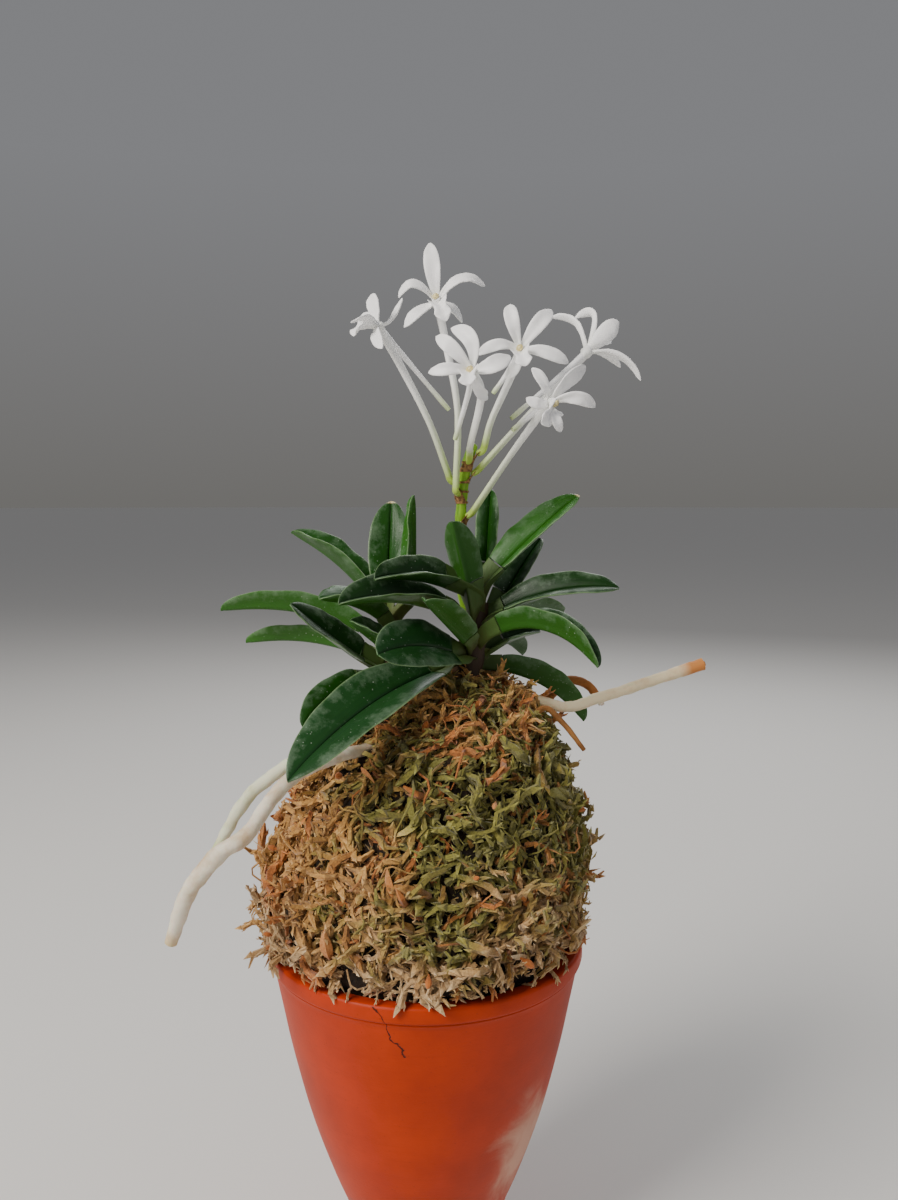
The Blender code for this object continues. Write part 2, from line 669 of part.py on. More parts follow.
def stalk_point(height):
    """Return the flower stalk's centre at a height."""
    return stem_point(STALK, height)


def make_stalk(collection, material):
    """Make the flower stalk with a small bract below each pedicel."""
    stalk = add_object("flower_stalk", tube_mesh(STALK, STALK_RADIUS, 8, 3), collection, material)
    bracts = []
    for flower in FLOWERS:
        height, heading = flower.seat
        centre = stalk_point(height - 1.9)
        out = direction(heading, 0)
        tip = centre + out * BRACT_LENGTH + Vector((0, 0, 0.3))
        mesh = tube_mesh((centre, centre + out * 2.0 - Vector((0, 0, 0.6)), tip),
                         (BRACT_RADII[0], BRACT_RADII[0], BRACT_RADII[1]), 4)
        bracts.append(add_object(flower.name + "_bract", mesh, collection))
    fuse(stalk, bracts)
    return stalk


def bezier(start, middle, end, u):
    """Return a point of the arc from start to end that passes through middle at half way."""
    handle = middle * 2 - (start + end) / 2
    return start * (1 - u) ** 2 + handle * 2 * u * (1 - u) + end * u ** 2


def petal_sheet(centre, facing, tepal, cup=0.12):
    """Return the open sheet of one tepal, from inside the hub to its tip."""
    middle = Vector(tepal.middle)
    tip = Vector(tepal.tip)
    start = centre.lerp(middle, 0.12)

    def place(u, v):
        spot = bezier(start, middle, tip, u)
        along = (bezier(start, middle, tip, min(1.0, u + 0.05))
                 - bezier(start, middle, tip, max(0.0, u - 0.05))).normalized()
        side = along.cross(facing).normalized()
        up = side.cross(along)
        reach = blade_width(u, 0.5) * tepal.width / 2
        return spot + side * v * reach + up * abs(v) * reach * cup

    return sheet_mesh(TEPAL_CELLS, place)


def make_flower(flower, collection, material):
    """Make a flower: hub and column, five tepals, lip, spur and pedicel, all one body."""
    centre = Vector(flower.centre)
    facing = Vector(flower.facing).normalized()
    shell = bmesh.new()
    bmesh.ops.create_uvsphere(shell, u_segments=8, v_segments=4, radius=HUB_RADIUS * MM)
    bmesh.ops.translate(shell, verts=shell.verts, vec=centre * MM)
    mesh = bpy.data.meshes.new(flower.name)
    shell.to_mesh(mesh)
    shell.free()
    body = add_object(flower.name, mesh, collection, material)

    pieces = []
    lip_tip = Vector(flower.lip)
    lip_middle = centre.lerp(lip_tip, 0.5) + facing * 1.6
    sheets = [*flower.tepals, Tepal(lip_middle, lip_tip, 4.2)]
    for number, tepal in enumerate(sheets):
        mesh = petal_sheet(centre, facing, tepal)
        blade = add_object(f"{flower.name}_blade_{number}", mesh, collection)
        pieces.append(thicken(blade, TEPAL_THICKNESS))
    column = tube_mesh((centre, centre + facing * 3.0), (1.5, 1.1), 6)
    pieces.append(add_object(flower.name + "_column", column, collection))
    spur = tube_mesh((centre, *flower.spur), (1.3, 1.1, 0.6), 4, 2)
    pieces.append(add_object(flower.name + "_spur", spur, collection))

    height, heading = flower.seat
    seat = stalk_point(height) + direction(heading, 0) * SEAT_REACH
    elbow = seat + direction(heading, 35) * 1.6
    rise = elbow + (Vector(flower.pedicel[-1]) - elbow).normalized() * 3.0
    route = (centre, *flower.pedicel, rise, elbow, seat)
    pedicel = tube_mesh(route, PEDICEL_RADII, 4)
    pieces.append(add_object(flower.name + "_pedicel", pedicel, collection))
    fuse(body, pieces)
    return body


def make_root(root, collection, material):
    """Make one root as a tube."""
    return add_object(root.name, tube_mesh(root.route, root.radii, 8, 2), collection, material)


def main():
    """Build the pot, the moss, the plant's two shoots, its roots and its flowers."""
    clear_scene()
    parts = make_collection(PARTS_NAME)
    cutters = make_collection(CUTTERS_NAME)
    terracotta = make_material("terracotta", (0.55, 0.13, 0.045), 0.55)
    moss = make_material("sphagnum", (0.25, 0.19, 0.07), 0.95)
    leaf_green = make_material("leaf", (0.035, 0.12, 0.03), 0.45)
    sheath_green = make_material("leaf_sheath", (0.08, 0.09, 0.03), 0.6)
    root_pale = make_material("root", (0.72, 0.62, 0.42), 0.7)
    stalk_green = make_material("flower_stalk", (0.22, 0.38, 0.06), 0.5)
    petal_white = make_material("flower", (0.86, 0.86, 0.8), 0.45)

    pot = make_pot(parts, cutters, terracotta)
    leaves = [make_leaf(leaf, parts, leaf_green) for leaf in LEAVES]
    main_leaves = [leaf for leaf in LEAVES if leaf.name.startswith("leaf")]
    left_leaves = [leaf for leaf in LEAVES if leaf.name.startswith("shoot")]
    crown = make_crown("crown_main", MAIN_STEM, MAIN_STEM_RADIUS, main_leaves, parts, sheath_green)
    shoot = make_crown("crown_left", LEFT_STEM, LEFT_STEM_RADIUS, left_leaves, parts, sheath_green)
    roots = [make_root(root, parts, root_pale) for root in ROOTS]
    stalk = make_stalk(parts, stalk_green)
    flowers = [make_flower(flower, parts, petal_white) for flower in FLOWERS]

    cut(crown, [make_room("stalk_room", STALK, STALK_RADIUS, 3, cutters)])

    walls = surface_walls([pot, crown, shoot, *leaves, *roots, stalk])
    rule = random.Random(SEED)
    mound = make_mound(rule, walls, parts, moss)
    fuse(mound, make_strands(rule, walls, parts) + make_tufts(rule, walls, parts))
    rooms = [("main_stem_room", MAIN_STEM, MAIN_STEM_RADIUS),
             ("left_stem_room", LEFT_STEM, LEFT_STEM_RADIUS)]
    rooms += [(root.name + "_room", root.route, root.radii) for root in ROOTS]
    cut(mound, [make_room(name, route, radii, 2, cutters) for name, route, radii in rooms])
    return flowers


main()
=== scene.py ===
"""The finished surfaces of a wind orchid in flower on its sphagnum mound, in a terracotta pot.

The pot stands on z = 0 with its axis on Z. +X is the plant's right and -Y its front.
Places and lengths are in millimetres and are turned to metres by MM. A heading of 0 degrees
points to +X, 90 to the back, 180 to the left and 270 to the front.
"""

import json
import logging
import math
import random
from dataclasses import dataclass
from dataclasses import field
from enum import Enum

import bmesh
import bpy
import numpy as np
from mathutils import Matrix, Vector
from mathutils import noise

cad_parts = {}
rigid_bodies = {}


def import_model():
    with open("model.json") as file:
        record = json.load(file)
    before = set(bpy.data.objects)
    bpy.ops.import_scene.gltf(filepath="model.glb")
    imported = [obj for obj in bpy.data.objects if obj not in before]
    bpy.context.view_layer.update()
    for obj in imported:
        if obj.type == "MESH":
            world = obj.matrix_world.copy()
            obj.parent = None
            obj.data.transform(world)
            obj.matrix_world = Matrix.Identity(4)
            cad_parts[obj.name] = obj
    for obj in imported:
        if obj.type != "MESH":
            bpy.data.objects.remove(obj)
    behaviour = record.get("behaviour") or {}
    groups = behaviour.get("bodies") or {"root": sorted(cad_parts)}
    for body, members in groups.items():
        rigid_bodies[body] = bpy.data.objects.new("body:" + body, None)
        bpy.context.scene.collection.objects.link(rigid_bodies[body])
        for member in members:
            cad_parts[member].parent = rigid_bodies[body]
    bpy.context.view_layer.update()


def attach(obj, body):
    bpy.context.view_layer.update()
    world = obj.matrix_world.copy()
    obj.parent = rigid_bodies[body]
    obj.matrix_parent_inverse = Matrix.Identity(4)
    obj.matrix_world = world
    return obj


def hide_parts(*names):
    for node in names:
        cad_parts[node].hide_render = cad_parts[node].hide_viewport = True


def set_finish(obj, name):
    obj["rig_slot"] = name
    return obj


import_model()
LOG = logging.getLogger("wind_orchid")
MM = 0.001
BODY = "root"
Point = tuple[float, float, float]
Span = tuple[float, float]
Values = dict[str, float]
Socket = bpy.types.NodeSocket
Material = bpy.types.Material
# Short names for the types of node that are used most.
MATH = "ShaderNodeMath"
VECTOR = "ShaderNodeVectorMath"
AXES = "ShaderNodeSeparateXYZ"
RANGE = "ShaderNodeMapRange"
RAMP = "ShaderNodeValToRGB"
CLOUD = "ShaderNodeTexNoise"
CELLS = "ShaderNodeTexVoronoi"
STRETCH = "ShaderNodeMapping"
CHANCE = "FunctionNodeRandomValue"
CHANNEL = "ShaderNodeAttribute"
MIX = "ShaderNodeMix"


class Slot(Enum):
    """The record's material slots."""

    POT = "terracotta"
    MOSS = "sphagnum"
    LEAF = "leaf"
    SHEATH = "leaf_sheath"
    STALK = "flower_stalk"
    FLOWER = "flower"
    ROOT = "root"


class Tone(Enum):
    """How dark and blue a leaf is, from 0 for a fresh mid green to 1 for a deep blue green."""

    FRESH = 0.1
    GREEN = 0.45
    DEEP = 0.75
    BLUE = 1.0


def linear(code: str) -> tuple[float, float, float, float]:
    """Turn an sRGB hex colour to linear values.

    Args:
        code: The colour as #rrggbb.

    Returns:
        Linear red, green and blue, and a full alpha.
    """
    values = [int(code[i:i + 2], 16) / 255 for i in (1, 3, 5)]
    return (*[v / 12.92 if v <= 0.04045 else ((v + 0.055) / 1.055) ** 2.4 for v in values], 1.0)


def per_size(millimetres: float) -> float:
    """Return the texture scale whose features are this many millimetres across."""
    return 1.0 / (millimetres * MM)


class Graph:
    """A node tree that is being built."""

    def __init__(self, tree: bpy.types.NodeTree) -> None:
        """Take the tree that is to be built."""
        self.tree = tree

    def add(self, kind: str, inputs: dict | None = None, out: int | str | None = 0,
            stops: tuple[tuple[float, str], ...] = (), **settings: object) -> Socket:
        """Add a node with its settings, its input values and its links.

        Args:
            kind: The node's type.
            inputs: A value or an output socket for each input, by its name or number.
            out: The wanted output, by its name or number, or None for all of them.
            stops: The place and the hex colour of each stop of a colour ramp, in order.
            settings: The node's own properties.

        Returns:
            The wanted output, or the list of them.
        """
        node = self.tree.nodes.new(kind)
        for name, value in settings.items():
            setattr(node, name, value)
        for key, value in (inputs or {}).items():
            if isinstance(value, Socket):
                self.tree.links.new(value, node.inputs[key])
            else:
                node.inputs[key].default_value = value
        if stops:
            elements = node.color_ramp.elements
            while len(elements) < len(stops):
                elements.new(0.5)
            for element, (place, code) in zip(elements, stops):
                element.position = place
                element.color = linear(code)
        return node.outputs if out is None else node.outputs[out]

    def row(self, kind: str, fed: int, value: object, rows: list[dict], out: int = 0,
            **settings: object) -> Socket:
        """Add nodes of one kind in a row, each fed by the one before it.

        Args:
            kind: The nodes' type.
            fed: The input that takes what the node before gives.
            value: What the first node takes there.
            rows: The other inputs of each node.
            out: The output that each node gives.
            settings: The nodes' own properties.

        Returns:
            What the last node gives.
        """
        for inputs in rows:
            value = self.add(kind, {fed: value, **inputs}, out, **settings)
        return value


class Surface(Graph):
    """A material that is being built on one Principled shader."""

    def __init__(self, name: str, **values: object) -> None:
        """Start a material.

        Args:
            name: The material's name.
            values: The even values of its shader, by input name with _ for a space.
        """
        self.material = bpy.data.materials.new(name)
        self.material.use_nodes = True
        super().__init__(self.material.node_tree)
        self.shader = self.tree.nodes["Principled BSDF"].inputs
        for key, value in values.items():
            self.shader[key.replace("_", " ")].default_value = value
        self.place = self.add("ShaderNodeTexCoord", out="Object")

    def pattern(self, size: float, **values: object) -> dict:
        """Return a texture's inputs: object coordinates, a size in millimetres, and others."""
        return {"Vector": self.place, "Scale": per_size(size), **values}

    def done(self, colour: Socket, relief: Socket, depth: float, strength: float,
             **settings: object) -> Material:
        """Give the shader its colour and its relief.

        Args:
            colour: The colour.
            relief: The height of the relief, from 0 to 1.
            depth: What a height of 1 is in millimetres.
            strength: How strongly the relief shows.
            settings: The bump node's own properties.

        Returns:
            The finished material.
        """
        bump = self.add("ShaderNodeBump", {
            "Height": relief, "Distance": depth * MM, "Strength": strength}, **settings)
        self.tree.links.new(colour, self.shader["Base Color"])
        self.tree.links.new(bump, self.shader["Normal"])
        return self.material


@dataclass(frozen=True)
class Terracotta:
    """Red clay turned on a wheel and fired unglazed: a warm satin orange with faint rings,
    fine grog specks, a hairline crack and a chalky bloom low on its right side."""

    clay: str = "#bb3503"
    clay_deep: str = "#a72e03"
    grog: str = "#7d2a0e"
    chalk: str = "#dcb49a"
    crack: str = "#3a1206"
    mottle_mm: float = 14.0
    ring_mm: float = 1.1
    grog_mm: float = 0.8
    grain_mm: float = 0.5
    bloom_mm: float = 13.0
    wiggle_mm: float = 5.0
    crack_heading: float = -114.0
    crack_slant: float = 8.5
    crack_heights: Span = (84.5, 97.6)
    bloom_at: Point = (25.0, -17.0, 47.0)
    bloom_size: Point = (13.0, 17.0, 25.0)

    def material(self) -> Material:
        """Build the clay's material.

        Returns:
            The material.
        """
        clay = Surface("terracotta_fired_clay", Roughness=0.48, IOR=1.5, Specular_IOR_Level=0.22)
        mottle = clay.add(CLOUD, clay.pattern(self.mottle_mm, Detail=5.0, Roughness=0.6))
        colour = clay.add(RAMP, {"Fac": mottle}, stops=((0.3, self.clay_deep), (0.66, self.clay)))
        rings = self.rings(clay)
        crack = self.crack_line(clay)
        coats = ((rings, self.clay_deep), (self.grog_specks(clay), self.grog),
                 (self.chalk_bloom(clay), self.chalk), (crack, self.crack))
        colour = clay.row(MIX, 6, colour, [{0: share, 7: linear(code)} for share, code in coats],
                          2, data_type="RGBA")
        grain = clay.add(CLOUD, clay.pattern(self.grain_mm, Detail=3.0))
        relief = clay.row(MATH, 2, grain, [{0: rings, 1: -0.5}, {0: crack, 1: -4.0}],
                          operation="MULTIPLY_ADD")
        return clay.done(colour, relief, 0.05, 0.8)

    def rings(self, clay: Surface) -> Socket:
        """Draw the faint turning rings that a maker's rib leaves round the wall.

        Args:
            clay: The material.

        Returns:
            Their share of the colour.
        """
        flat = clay.add(STRETCH, {"Vector": clay.place, "Scale": (0.04, 0.04, 1.0)})
        streak = clay.add(CLOUD, clay.pattern(self.ring_mm, Vector=flat, Detail=3.0,
                                              Roughness=0.7))
        return clay.add(RANGE, {"Value": streak, "From Min": 0.52, "From Max": 0.8,
                                "To Max": 0.55})

    def grog_specks(self, clay: Surface) -> Socket:
        """Draw dark specks of ground clay in about one cell of five.

        Args:
            clay: The material.

        Returns:
            Their share of the colour.
        """
        cells = clay.add(CELLS, clay.pattern(self.grog_mm), None)
        near = clay.add(RANGE, {"Value": cells["Distance"], "From Min": 0.1, "From Max": 0.3,
                                "To Min": 1.0, "To Max": 0.0})
        chosen = clay.add(MATH, {0: cells["Color"], 1: 0.78}, operation="GREATER_THAN")
        return clay.row(MATH, 0, near, [{1: chosen}, {1: 0.45}], operation="MULTIPLY")

    def chalk_bloom(self, clay: Surface) -> Socket:
        """Draw the dried lime that water leaves on the wall.

        Args:
            clay: The material.

        Returns:
            Its share of the colour.
        """
        local = clay.place
        for operation, corner in (("SUBTRACT", self.bloom_at), ("DIVIDE", self.bloom_size)):
            local = clay.add(VECTOR, {0: local, 1: [value * MM for value in corner]},
                             operation=operation)
        far = clay.add(VECTOR, {0: local}, "Value", operation="LENGTH")
        cloud = clay.add(CLOUD, clay.pattern(self.bloom_mm, Detail=7.0, Roughness=0.62,
                                             Distortion=0.6))
        inside = clay.row(MATH, 2, -0.55, [{0: cloud, 1: 1.5}, {0: far, 1: -1.0}],
                          operation="MULTIPLY_ADD")
        return clay.add(RANGE, {"Value": inside, "From Min": -0.85, "From Max": 0.05,
                                "To Max": 0.72}, interpolation_type="SMOOTHSTEP")

    def crack_line(self, clay: Surface) -> Socket:
        """Draw the hairline crack that runs down from the rim, about 0.3 mm wide.

        Args:
            clay: The material.

        Returns:
            Its share of the colour.
        """
        x, y, z = clay.add(AXES, {0: clay.place}, None)
        angle = clay.add(MATH, {0: y, 1: x}, operation="ARCTAN2")
        wiggle = clay.add(CLOUD, clay.pattern(self.wiggle_mm, Detail=4.0))
        low, high = (height * MM for height in self.crack_heights)
        slant = clay.add(RANGE, {
            "Value": z, "From Min": low, "From Max": high,
            "To Min": math.radians(self.crack_heading + self.crack_slant),
            "To Max": math.radians(self.crack_heading)})
        off = clay.row(MATH, 2, -0.08, [{0: angle, 1: 1.0}, {0: wiggle, 1: -0.16},
                                        {0: slant, 1: -1.0}], operation="MULTIPLY_ADD")
        off = clay.add(MATH, {0: off}, operation="ABSOLUTE")
        line = clay.add(RANGE, {"Value": off, "From Min": 0.002, "From Max": 0.006,
                                "To Min": 1.0, "To Max": 0.0})
        below = clay.add(MATH, {0: z, 1: high}, operation="LESS_THAN")
        above = clay.add(MATH, {0: z, 1: low}, operation="GREATER_THAN")
        return clay.row(MATH, 0, line, [{1: below}, {1: above}], operation="MULTIPLY")


@dataclass(frozen=True)
class DriedSphagnum:
    """Long-fibre sphagnum moss, partly dried: matt scaly strands, straw to orange brown on the
    left, living olive green at the upper right and bleached beige low at the front. Each colour is
    painted from shade at the feet of strands and scales to a highlight at their tips."""

    name: str = "sphagnum_dried_and_living"
    # Each colour is given dark, middle and pale: the dark end is painted shade, the pale end a
    # painted highlight.
    greens: tuple[str, str, str] = ("#333c12", "#707a2e", "#a9ae60")
    straws: tuple[str, str, str] = ("#74491f", "#c6954f", "#ecd09a")
    rusts: tuple[str, str, str] = ("#6d3614", "#b66c30", "#dda068")
    pales: tuple[str, str, str] = ("#77593a", "#c6a87c", "#f1e5cb")
    bud_pale: str = "#e2b878"
    bud_rust: str = "#b8692c"
    patch_mm: float = 16.0
    fibre_mm: float = 0.45
    shade_places: Point = (0.0, 0.35, 0.75)
    bud_from: float = 1.3

    def material(self) -> Material:
        """Build the moss's material, which reads each strand's tint and how near its tip is, and
        paints the tips as highlight and the feet as shade.

        Returns:
            The material.
        """
        moss = Surface(self.name, Roughness=0.85, IOR=1.45, Sheen_Weight=0.25,
                       Sheen_Roughness=0.6, Specular_IOR_Level=0.25)
        tint, tip = (moss.add(CHANNEL, out="Fac", attribute_name=name)
                     for name in ("tint", "tip"))
        fibre = moss.add(CLOUD, moss.pattern(self.fibre_mm, Detail=2.0))
        # Painted light and shade: the tip value lifts scale and strand tips to the pale, highlit
        # end of each ramp and leaves their feet at the dark, shaded end; the fibres add random
        # tone.
        light = moss.row(MATH, 2, -0.12, [{0: fibre, 1: 0.5}, {0: tip, 1: 0.42}],
                         operation="MULTIPLY_ADD")
        green, straw, rust, pale = (
            moss.add(RAMP, {"Fac": light}, stops=tuple(zip(self.shade_places, shades)))
            for shades in (self.greens, self.straws, self.rusts, self.pales))
        x, _, z = moss.add(AXES, {0: moss.place}, None)
        patch = moss.add(CLOUD, moss.pattern(self.patch_mm, Detail=3.0))
        shift = moss.row(MATH, 2, -48.0, [{0: patch, 1: 70.0}, {0: tint, 1: 26.0}],
                         operation="MULTIPLY_ADD")
        bleached, *living = (
            self.zone(moss, axis, shift, span)
            for axis, span in ((z, (122.0, 90.0)), (x, (-24.0, 0.0)), (z, (102.0, 122.0)),
                               (z, (172.0, 160.0)), (x, (64.0, 40.0))))
        rusty = moss.add(RANGE, {"Value": tint, "From Min": 0.8, "From Max": 0.92,
                                 "To Max": 0.9})
        is_bud = moss.add(MATH, {0: tip, 1: self.bud_from}, operation="GREATER_THAN")
        bud = moss.add(RAMP, {"Fac": tint}, stops=((0.2, self.bud_pale), (0.7, self.bud_rust)))
        alive = moss.row(MATH, 0, living[0], [{1: share} for share in living[1:]],
                         operation="MULTIPLY")
        coats = ((bleached, pale), (alive, green), (rusty, rust), (is_bud, bud))
        colour = moss.row(MIX, 6, straw, [{0: share, 7: coat} for share, coat in coats], 2,
                          data_type="RGBA")
        return moss.done(colour, fibre, 0.2, 0.7)

    def zone(self, moss: Surface, axis: Socket, shift: Socket, span: Span) -> Socket:
        """Return 0 at one place along an axis and 0.95 at another, with a ragged edge.

        Args:
            moss: The material.
            axis: The place along the axis in metres.
            shift: How far the edge wanders in millimetres.
            span: The places in millimetres of 0 and of 0.95.

        Returns:
            The share.
        """
        ragged = moss.add(MATH, {0: axis, 1: 1 / MM, 2: shift}, operation="MULTIPLY_ADD")
        return moss.add(RANGE, {"Value": ragged, "From Min": span[0], "From Max": span[1],
                                "To Max": 0.95}, interpolation_type="SMOOTHSTEP")


@dataclass(frozen=True)
class FibrousSkin:
    """A plain plant skin whose colour and relief follow its fibres, from dark to light."""

    name: str
    stops: tuple[tuple[float, str], ...]
    fibre_mm: float
    detail: float
    depth: float
    strength: float
    values: Values
    uneven: float = 0.5
    lengthwise: float = 1.0
    fibre_share: float = 1.0
    start: float = 0.0
    along_share: float = 0.0

    def material(self) -> Material:
        """Build the skin's material, which may also read how far along a point is.

        Returns:
            The material.
        """
        skin = Surface(self.name, **self.values)
        spot = skin.add(STRETCH, {"Vector": skin.place, "Scale": (1.0, 1.0, self.lengthwise)})
        fibre = skin.add(CLOUD, skin.pattern(self.fibre_mm, Vector=spot, Detail=self.detail,
                                             Roughness=self.uneven))
        along = skin.add(CHANNEL, out="Fac", attribute_name="along")
        shade = skin.row(MATH, 2, self.start, [{0: fibre, 1: self.fibre_share},
                                               {0: along, 1: self.along_share}],
                         operation="MULTIPLY_ADD")
        return skin.done(skin.add(RAMP, {"Fac": shade}, stops=self.stops), fibre, self.depth,
                         self.strength)


# The imported inside of the moss, seen only in the gaps: damp, matt moss whose dark brown is
# painted down to near black as the shade deep in those gaps.
MOSS_CORE = FibrousSkin("sphagnum_core_painted_shade", ((0.4, "#0e0a05"), (0.7, "#3a2814")), 2.2, 6.0,
                        1.2, 1.0, {"Roughness": 0.95}, uneven=0.7)
# Old leaf bases round a short stem: olive green where a blade joins, drying to a papery brown
# with lengthwise fibres towards the foot.
LEAF_BASES = FibrousSkin("leaf_base_fibrous",
                         ((0.15, "#3b2713"), (0.5, "#4b5423"), (0.85, "#46602a")), 0.6, 4.0,
                         0.12, 0.6, {"Roughness": 0.6, "IOR": 1.45}, lengthwise=0.15,
                         fibre_share=0.6, start=-0.3, along_share=1.0)
# A young flower stalk: smooth lime green, a little darker and duller in faint streaks. A little
# light soaks into it.
YOUNG_STALK = FibrousSkin("flower_stalk_green", ((0.3, "#5c8a1e"), (0.62, "#84b02a")), 0.9, 3.0,
                          0.06, 0.5, {"Roughness": 0.4, "IOR": 1.42, "Subsurface_Weight": 0.1,
                                      "Subsurface_Scale": 0.8 * MM}, lengthwise=0.2)
# A dry bract: thin brown paper with darker fibres.
PAPERY_BRACT = FibrousSkin("bract_papery_brown", ((0.35, "#4c2c14"), (0.65, "#a67c4a")), 0.7,
                           4.0, 0.1, 0.6, {"Roughness": 0.75})


@dataclass(frozen=True)
class LeatheryLeaf:
    """A thick orchid leaf with a waxed cuticle: deep green with fine lengthwise streaks, a midrib
    groove painted dark as the shade in its crease, a thin pale margin painted as the highlight on
    its edges, a soft gloss, a patchy pale sheen painted towards the margins and specks of dust."""

    fresh: str = "#2b6411"
    green: str = "#17420e"
    deep: str = "#0b240a"
    blue: str = "#173a1c"
    # The midrib's crease, painted dark as shade.
    groove: str = "#0a1f0a"
    # The edges, painted pale as a highlight.
    margin: str = "#6f8a5a"
    below: str = "#34651f"
    scar: str = "#d8c79c"
    sheen_colour: str = "#9db39a"
    # Painted sheen: a pale grey green laid in patches towards the margins.
    speck: str = "#dfe6da"
    patch_mm: float = 6.0
    sheen_patch_mm: float = 4.0
    cell_mm: float = 0.35
    dust_mm: float = 1.3
    drift_mm: float = 9.0

    def material(self) -> Material:
        """Build the leaf's material, which reads each blade's own values.

        Returns:
            The material.
        """
        leaf = Surface("orchid_leaf_cuticle", IOR=1.45, Specular_IOR_Level=0.24)
        along, across, upper, tone, scar = (
            leaf.add(CHANNEL, out="Fac", attribute_name=name)
            for name in ("along", "across", "upper", "tone", "scar"))
        patch = leaf.add(CLOUD, leaf.pattern(self.patch_mm, Detail=3.0))
        mottled = leaf.row(MATH, 2, -0.25, [{0: patch, 1: 0.5}, {0: tone, 1: 1.0}],
                           operation="MULTIPLY_ADD")
        colour = leaf.add(RAMP, {"Fac": mottled}, stops=(
            (0.0, self.fresh), (0.42, self.green), (0.75, self.deep), (1.0, self.blue)))
        side = leaf.add(MATH, {0: across}, operation="ABSOLUTE")
        streaks = self.streaks(leaf, along, across, tone)
        # Painted shade: the crease over the midrib is darkened as the shade that falls in it.
        groove = leaf.add(RANGE, {"Value": side, "From Min": 0.006, "From Max": 0.03,
                                  "To Min": 0.6, "To Max": 0.0})
        # Painted highlight: the outermost strip is lightened as the light that the edges catch.
        edge = leaf.add(RANGE, {"Value": side, "From Min": 0.945, "To Max": 0.8})
        under = leaf.add(RANGE, {"Value": upper, "To Min": 0.65, "To Max": 0.0})
        dust = self.dust(leaf)
        faint = leaf.add(MATH, {0: streaks, 1: 0.22}, operation="MULTIPLY")
        coats = ((faint, self.fresh), (groove, self.groove), (edge, self.margin),
                 (under, self.below), (scar, self.scar), (self.painted_sheen(leaf, side), self.sheen_colour),
                 (dust, self.speck))
        colour = leaf.row(MIX, 6, colour, [{0: share, 7: linear(code)} for share, code in coats],
                          2, data_type="RGBA")
        gloss = leaf.add(RANGE, {"Value": streaks, "To Min": 0.28, "To Max": 0.44})
        leaf.tree.links.new(gloss, leaf.shader["Roughness"])
        cells = leaf.add(CLOUD, leaf.pattern(self.cell_mm, Detail=2.0))
        relief = leaf.row(MATH, 2, cells, [{0: streaks, 1: 1.2}, {0: dust, 1: 2.0}],
                          operation="MULTIPLY_ADD")
        return leaf.done(colour, relief, 0.05, 0.75)

    def painted_sheen(self, leaf: Surface, side: Socket) -> Socket:
        """Draw a patchy pale sheen that grows towards the margins: painted light where the curved
        halves catch it.

        Args:
            leaf: The material.
            side: How far a point is from the midrib, as a share of the half width.

        Returns:
            Its share of the colour.
        """
        outer = leaf.add(RANGE, {"Value": side, "From Min": 0.2, "To Min": -0.1, "To Max": 0.14})
        cloud = leaf.add(CLOUD, leaf.pattern(self.sheen_patch_mm, Detail=6.0, Roughness=0.7))
        patchy = leaf.add(MATH, {0: outer, 1: 1.0, 2: cloud}, operation="MULTIPLY_ADD")
        return leaf.add(RANGE, {"Value": patchy, "From Min": 0.5, "From Max": 0.8,
                                "To Max": 0.3})

    def streaks(self, leaf: Surface, along: Socket, across: Socket, tone: Socket) -> Socket:
        """Draw the fine streaks that run the length of a blade, about 0.5 mm apart.

        Args:
            leaf: The material.
            along: How far along the blade a point is.
            across: How far across it is.
            tone: The blade's tone, so that no two tones have the same streaks.

        Returns:
            Their strength.
        """
        spot = leaf.add("ShaderNodeCombineXYZ", {0: across, 1: along, 2: tone})
        spot = leaf.add(STRETCH, {"Vector": spot, "Scale": (12.0, 2.2, 9.0)})
        return leaf.add(CLOUD, {"Vector": spot, "Scale": 1.0, "Detail": 4.0, "Roughness": 0.6})

    def dust(self, leaf: Surface) -> Socket:
        """Draw specks of dust, gathered in drifts.

        Args:
            leaf: The material.

        Returns:
            Their share of the colour.
        """
        far = leaf.add(CELLS, leaf.pattern(self.dust_mm), "Distance")
        near = leaf.add(RANGE, {"Value": far, "From Min": 0.05, "From Max": 0.14,
                                "To Min": 1.0, "To Max": 0.0})
        drift = leaf.add(CLOUD, leaf.pattern(self.drift_mm, Detail=3.0))
        few = leaf.add(RANGE, {"Value": drift, "From Min": 0.42, "From Max": 0.68,
                               "To Max": 0.6})
        return leaf.add(MATH, {0: near, 1: few}, operation="MULTIPLY")


@dataclass(frozen=True)
class Velamen:
    """The spongy skin of an aerial root: chalky off-white with tan bruises and fine wrinkles,
    ending in a tip of its own colour. A little light soaks into it."""

    name: str
    body: str
    bruise: str
    tip: str
    tip_from: float
    bruised: float
    bruise_mm: float = 6.5
    wrinkle_mm: float = 0.8

    def material(self) -> Material:
        """Build the root's material, which reads how far along the root a point is.

        Returns:
            The material.
        """
        root = Surface(self.name, Roughness=0.72, IOR=1.4, Subsurface_Weight=0.15,
                       Subsurface_Scale=MM)
        patch = root.add(CLOUD, root.pattern(self.bruise_mm, Detail=6.0, Roughness=0.65))
        bruise = root.add(RANGE, {"Value": patch, "From Min": 0.75 - 0.5 * self.bruised,
                                  "From Max": 0.95 - 0.4 * self.bruised, "To Max": 0.85})
        along = root.add(CHANNEL, out="Fac", attribute_name="along")
        end = root.add(RANGE, {"Value": along, "From Min": self.tip_from,
                               "From Max": self.tip_from + 0.05})
        colour = root.row(MIX, 6, linear(self.body), [{0: bruise, 7: linear(self.bruise)},
                                                      {0: end, 7: linear(self.tip)}],
                          2, data_type="RGBA")
        wrinkle = root.add(CLOUD, root.pattern(self.wrinkle_mm, Detail=4.0))
        return root.done(colour, wrinkle, 0.12, 0.7)


